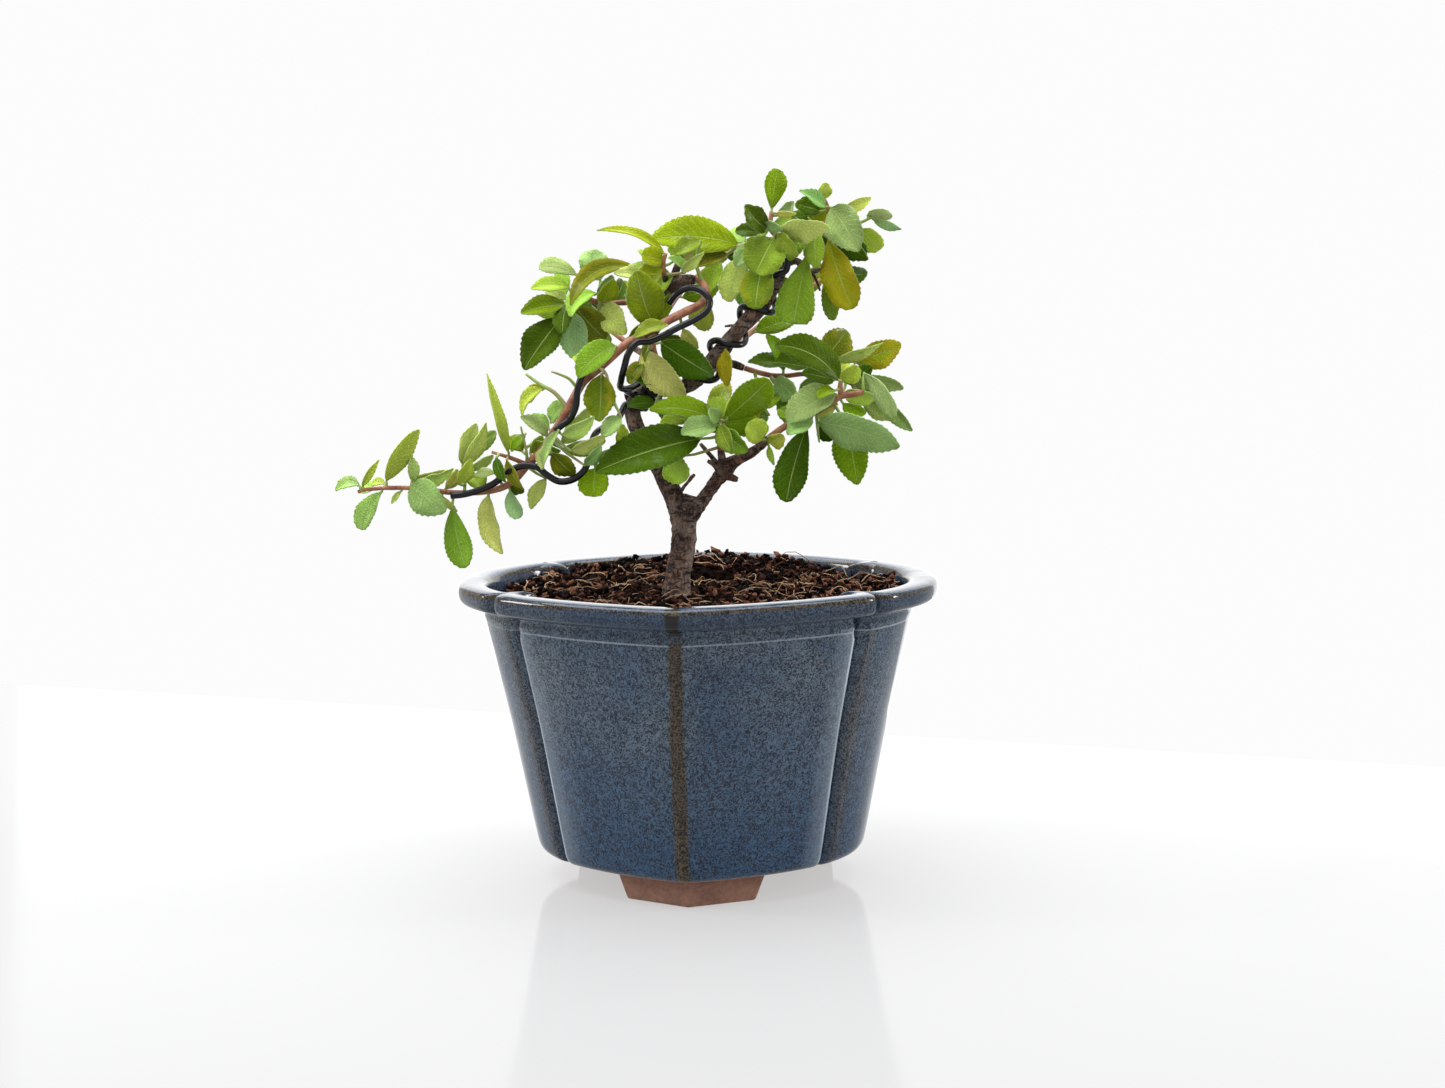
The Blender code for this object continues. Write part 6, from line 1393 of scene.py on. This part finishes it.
# Red shoot: the right limb's young reddish shoot, with large leaves that hang from it.
# It carries on from the limb's old wood, and is cut off short at its end.
RED_STEMS = (
    ((22.6, 142.6, -6.6, 1.3), (27, 146.2, -8, 1.2), (31, 149, -9, 1.15), (36, 151.3, -9.5, 1.15),
     (41, 153.5, -10, 1.15), (46, 156.5, -10, 1.2), (49.3, 158.6, -10, 1.25), (53, 159, -10, 1.05),
     (56.6, 159.7, -10, 0.95)),
    ((49.2, 158.6, -10, 1.0), (49, 161.5, -10.6, 0.9), (49.3, 163.4, -11, 0.7)),
    ((41.2, 153.6, -10, 0.8), (41.3, 148.6, -9.2, 0.5), (41.9, 143.2, -8.2, 0.3)),
)
RED_LEAVES = (
    (41.6, 149.9, -12, 68.7, 141.2, -19, 13.5, 25, 1.6, -2.2, "oval", "blue"),
    (51, 150, -7.4, 54.6, 128.8, -10, 13.0, 12, -0.8, 0.0, "oval", "mid"),
    (38, 149, -11.6, 30.6, 123.3, -14, 12.2, 15, -0.8, 0.8, "spoon", "deep"),
    (39.6, 151.4, -12, 31.2, 146, -17, 7.4, 25, 0.4, 0.0, "oval", "blue"),
    (47.6, 159.2, -11.4, 31.4, 149.8, -15, 12.4, 25, 0.8, 1.2, "oval", "blue"),
    (47.2, 160.4, -12.6, 41.3, 157.8, -17.5, 5.0, 35, 0.5, 0.4, "oval", "mid"),
    (42.4, 149.4, -7.8, 46.6, 144, -4.5, 6.8, 30, 0.4, 0.0, "oval", "deep"),
    (48, 155.8, -8, 42.2, 150.6, -4, 6.4, 35, 0.4, 0.0, "oval", "pale"),
    (49.8, 156.2, -8, 57.3, 152.4, -3, 6.4, 35, 0.5, 0.0, "oval", "lime"),
    (23, 144.4, -10.4, 18.2, 150.2, -13.5, 9.4, 15, 0.4, 0.0, "round", "light"),
    (25, 143.4, -10.4, 30, 145.8, -13.8, 7.0, 30, 0.4, 0.0, "oval", "light"),
    (25, 142.4, -7.6, 26.7, 135.8, -9, 2.8, 30, 0.3, 0.0, "lance", "light"),
    (48.6, 163.8, -11.4, 27.4, 175.6, -14, 12.0, 25, 1.6, 2.8, "oval", "deep"),
    (50, 163.6, -11.8, 54.8, 168.6, -15, 6.8, 20, 0.4, 0.0, "round", "light"),
    (56.8, 166.2, -8, 66.8, 151, -12, 7.4, 35, 0.8, -2.2, "spoon", "silver"),
    (33, 150.6, -7.8, 28.6, 154.6, -4.5, 6.0, 30, 0.4, 0.0, "oval", "fresh"),
)
leafy("red", "red_shoot", RED_STEMS, RED_LEAVES, 29)


# Fork spray: the rosette in front of the fork, with the tree's largest leaf.
# It has grown on a short spur from the right limb's knot.
FORK_STEMS = (
    ((9, 141.4, -9.3, 1.2), (8.6, 144.6, -11, 1.1), (8.8, 148, -12.5, 1.0), (9.2, 150.8, -13.2, 0.75)),
)
FORK_LEAVES = (
    (10, 151, -13.4, 25.5, 164.4, -19, 12.8, 20, 0.8, 0.0, "spoon", "mid"),
    (9, 151.4, -12.4, 7.4, 158.8, -8, 8.6, 30, 0.5, 0.0, "oval", "fresh"),
    (8.4, 150.4, -13.6, 5, 154.8, -17, 5.6, 25, 0.3, 0.0, "oval", "blue"),
    (10.4, 149.6, -11.6, 21.2, 149.4, -6.5, 9.4, 35, 0.8, -1.4, "oval", "lime"),
    (9.8, 147.8, -13, 18, 140.6, -17, 8.6, 30, 0.6, 0.0, "oval", "fresh"),
    (7.6, 149.2, -14, -4.2, 146.6, -19, 9.0, 30, 0.8, 0.0, "oval", "blue"),
    (6.8, 151.2, -12, -14.6, 154.8, -17, 9.0, 35, 1.2, 1.6, "oval", "mid"),
    (2.4, 145, -14, -33, 134.4, -21, 15.8, 15, 1.6, 0.8, "oval", "deep"),
    (-8.6, 138.8, -11, -2.8, 131, -14, 10.0, 20, 0.5, 0.0, "round", "light"),
    (-1, 152.2, -10.4, -11.2, 150.2, -12.5, 6.2, 30, 0.5, 0.0, "oval", "light"),
    (9.6, 149.8, -11, 14.6, 155.6, -2.5, 8.5, 25, 0.6, 0.0, "oval", "mid"),
    (7.8, 147, -10, 1.4, 151.4, -2, 8.5, 25, 0.6, 0.0, "oval", "deep"),
    (9, 149.6, -15, 12.6, 140.4, -19, 6.5, 25, 0.5, 0.0, "oval", "fresh"),
    (11.4, 151.5, -14, 14.5, 159, -12, 6.5, 25, 0.5, 0.0, "oval", "light"),
)
leafy("fork", "fork_spray", FORK_STEMS, FORK_LEAVES, 30)


# Far side: four sprays that the front view hides, each on a stub of the left or the crown limb.
# Their leaves follow a rule round their stems, as leaves on a free shoot do.
GOLDEN_ANGLE = 2.4
FAR_LOOKS = ("mid", "deep", "fresh", "olive")
FIRST_LEAF = 0.16
LEAFY_SHARE = 0.82
FAR_STALK = 2.2
# The stem, how many leaves it has and how long they are.
FAR_STEMS = {
    "far_left_spray": (
        ((-20.8, 176.5, 18.9, 1.0), (-24.5, 179.5, 22, 0.95), (-30, 183.5, 25, 0.85), (-37, 187, 28, 0.7),
         (-43, 190, 30, 0.5)), 7, 16.0),
    "far_crown_spray": (
        ((-7.4, 188.5, 15.9, 1.0), (-4, 193, 20, 0.9), (1, 198, 24, 0.8), (6, 202, 27, 0.65),
         (10, 205, 29, 0.5)), 6, 15.0),
    "far_right_spray": (
        ((14.7, 176.6, 7.9, 1.0), (21, 181, 14, 0.95), (32, 189, 20, 0.85), (40, 195, 25, 0.7),
         (47, 201, 28, 0.5)), 7, 16.0),
    "far_low_spray": (
        ((-10.4, 144.2, 7.9, 1.0), (-6, 146.5, 13, 0.9), (0, 149, 19, 0.8), (8, 151, 24, 0.65),
         (16, 152.5, 27, 0.5)), 6, 15.0),
}


def far_leaves(stations, count, length, rng):
    """Leaves set round a stem at the golden angle, each given as seen from the front."""
    leaves = []
    last = len(stations) - 1
    for index in range(count):
        place = (FIRST_LEAF + LEAFY_SHARE * index / (count - 1)) * last
        lower = min(int(place), last - 1)
        spot = [a + (b - a) * (place - lower) for a, b in zip(stations[lower][:3], stations[lower + 1][:3])]
        angle = index * GOLDEN_ANGLE + rng.uniform(-0.3, 0.3)
        size = length * rng.uniform(0.8, 1.1)
        away = (math.cos(angle), 0.55 * math.sin(angle) + 0.35, 0.35 + 0.5 * abs(math.sin(angle)))
        base = [value + FAR_STALK * part for value, part in zip(spot, away)]
        tip = [value + size * part for value, part in zip(spot, away)]
        turn = rng.uniform(-35.0, 35.0)
        look = FAR_LOOKS[index % len(FAR_LOOKS)]
        leaves.append((*base, *tip, size * 0.5, turn, 0.8, rng.uniform(-0.8, 0.8), "oval", look))
    return leaves


rng = random.Random(7)
for name, (stations, count, length) in FAR_STEMS.items():
    leafy(name.removesuffix("_spray"), name, (stations,), far_leaves(stations, count, length, rng), 31)


# Training wires: four lengths of soft black wire, about 2 mm thick, that hold the shoots where they are bent.
# They are wound round the wood by hand and run beside it: a route is seen from the front (across, up, back).
ARCH_ROUTE = (
    (-7.4, 190, -4.6), (-4.6, 193.4, -6), (-0.6, 195, -7.4), (3.2, 194, -9), (6, 191, -10.4),
    (5, 187.4, -12), (0.6, 184.4, -13), (-4.6, 182, -13.6), (-9.6, 179.4, -14.8), (-14, 177.6, -17.2),
    (-18.2, 177.2, -19), (-21.2, 173.8, -19.8), (-22.6, 169.4, -18.6), (-23.8, 165, -16),
    (-24, 162.4, -11), (-21, 162.2, -6),
)
OUTER_ROUTE = (
    (-25.2, 152, -4), (-29.6, 149.4, -6.4), (-32.6, 147.4, -10), (-34.2, 143.8, -13), (-35, 139.4, -15.2),
    (-36.8, 135, -16.6), (-40.6, 132, -17.2), (-45.2, 131.4, -17.4), (-49.2, 133.6, -17.4),
    (-52.4, 136.2, -17), (-56.2, 136.9, -16.4), (-60, 136, -15.8), (-63.4, 133.8, -15.2),
    (-66.8, 131.2, -14.6), (-70.4, 129.5, -14), (-74.2, 128.2, -13.6), (-78, 127.4, -13.2),
    (-81.6, 127.1, -13),
)
SHOOT_ROUTE = (
    (-33, 170.6, -15), (-36.4, 167.4, -18), (-38.4, 161.6, -18.6), (-39, 156.6, -17.4), (-41, 152.4, -16.8),
    (-43.8, 150.2, -17.4), (-46.2, 148.4, -17.6),
)
APEX_TAIL = ((32.4, 205.2, -3), (34.2, 206.6, -3.2), (36, 207.8, -3))
# Turns round the left limb: where they start and end along it, how many there are, and the first one's angle.
ARCH_COIL = (0.408, 0.435, 0.75, -60.0)
OUTER_COIL = (0.384, 0.346, -1.3, 88.0)
APEX_COIL = (0.475, 0.93, 3.8, 120.0)
TURN_STEPS = 9
WIRE_RADIUS = 1.12
WIRE_OFFSET = 1.65
WIRE_STEP = 0.8
WIRE_SIDES = 12


def wound(stations, start, end, turns, phase):
    """A wire's turns round a stem between two shares of the stem's length."""
    points, radii = stem_run(stations, WIRE_STEP)
    last = len(points) - 1
    frames = []
    first = Vector((0.0, -1.0, 0.0))
    for index in range(len(points)):
        tangent = (points[min(index + 1, last)] - points[max(index - 1, 0)]).normalized()
        first = (first - tangent * first.dot(tangent)).normalized()
        frames.append((first, tangent.cross(first)))
    count = max(2, round(abs(turns) * TURN_STEPS) + 1)
    out = []
    for index in range(count + 1):
        spot = min(last, max(0, round((start + (end - start) * index / count) * last)))
        angle = math.radians(phase) + 2.0 * math.pi * turns * index / count
        front, side = frames[spot]
        outward = front * math.cos(angle) + side * math.sin(angle)
        out.append(points[spot] + outward * (radii[spot] + WIRE_OFFSET))
    return out


def beside(route):
    """A wire's free route, from its points as seen from the front."""
    return [from_front(*spot) for spot in route]


wire_skin, tree, shader, place = new_surface("black_wire_skin")
dulled = patchy(tree, place, 240.0, 4.0, 0.3, 0.35, 0.68)
feed(tree, shader, {
    "Base Color": mixed(tree, dulled, (0.001, 0.001, 0.0015), (0.006, 0.006, 0.007)),
    "Roughness": ramp(tree, dulled, 0.0, 1.0, 0.16, 0.30),
    "Specular IOR Level": 0.3,
})
roughen(tree, shader, dulled, 0.2, 0.0002)
wire_routes = {
    "arch_wire": beside(ARCH_ROUTE) + wound(LEFT_LIMB, *ARCH_COIL),
    "outer_wire": wound(LEFT_LIMB, *OUTER_COIL) + beside(OUTER_ROUTE),
    "shoot_wire": beside(SHOOT_ROUTE),
    "apex_wire": wound(LEFT_LIMB, *APEX_COIL) + beside(APEX_TAIL),
}
for name, route in wire_routes.items():
    run = smooth_run(route, [WIRE_RADIUS] * len(route), WIRE_STEP)
    link_piece("bent_" + name, tubes_mesh("bent_" + name, [run], WIRE_SIDES), [wire_skin], "wire", name)
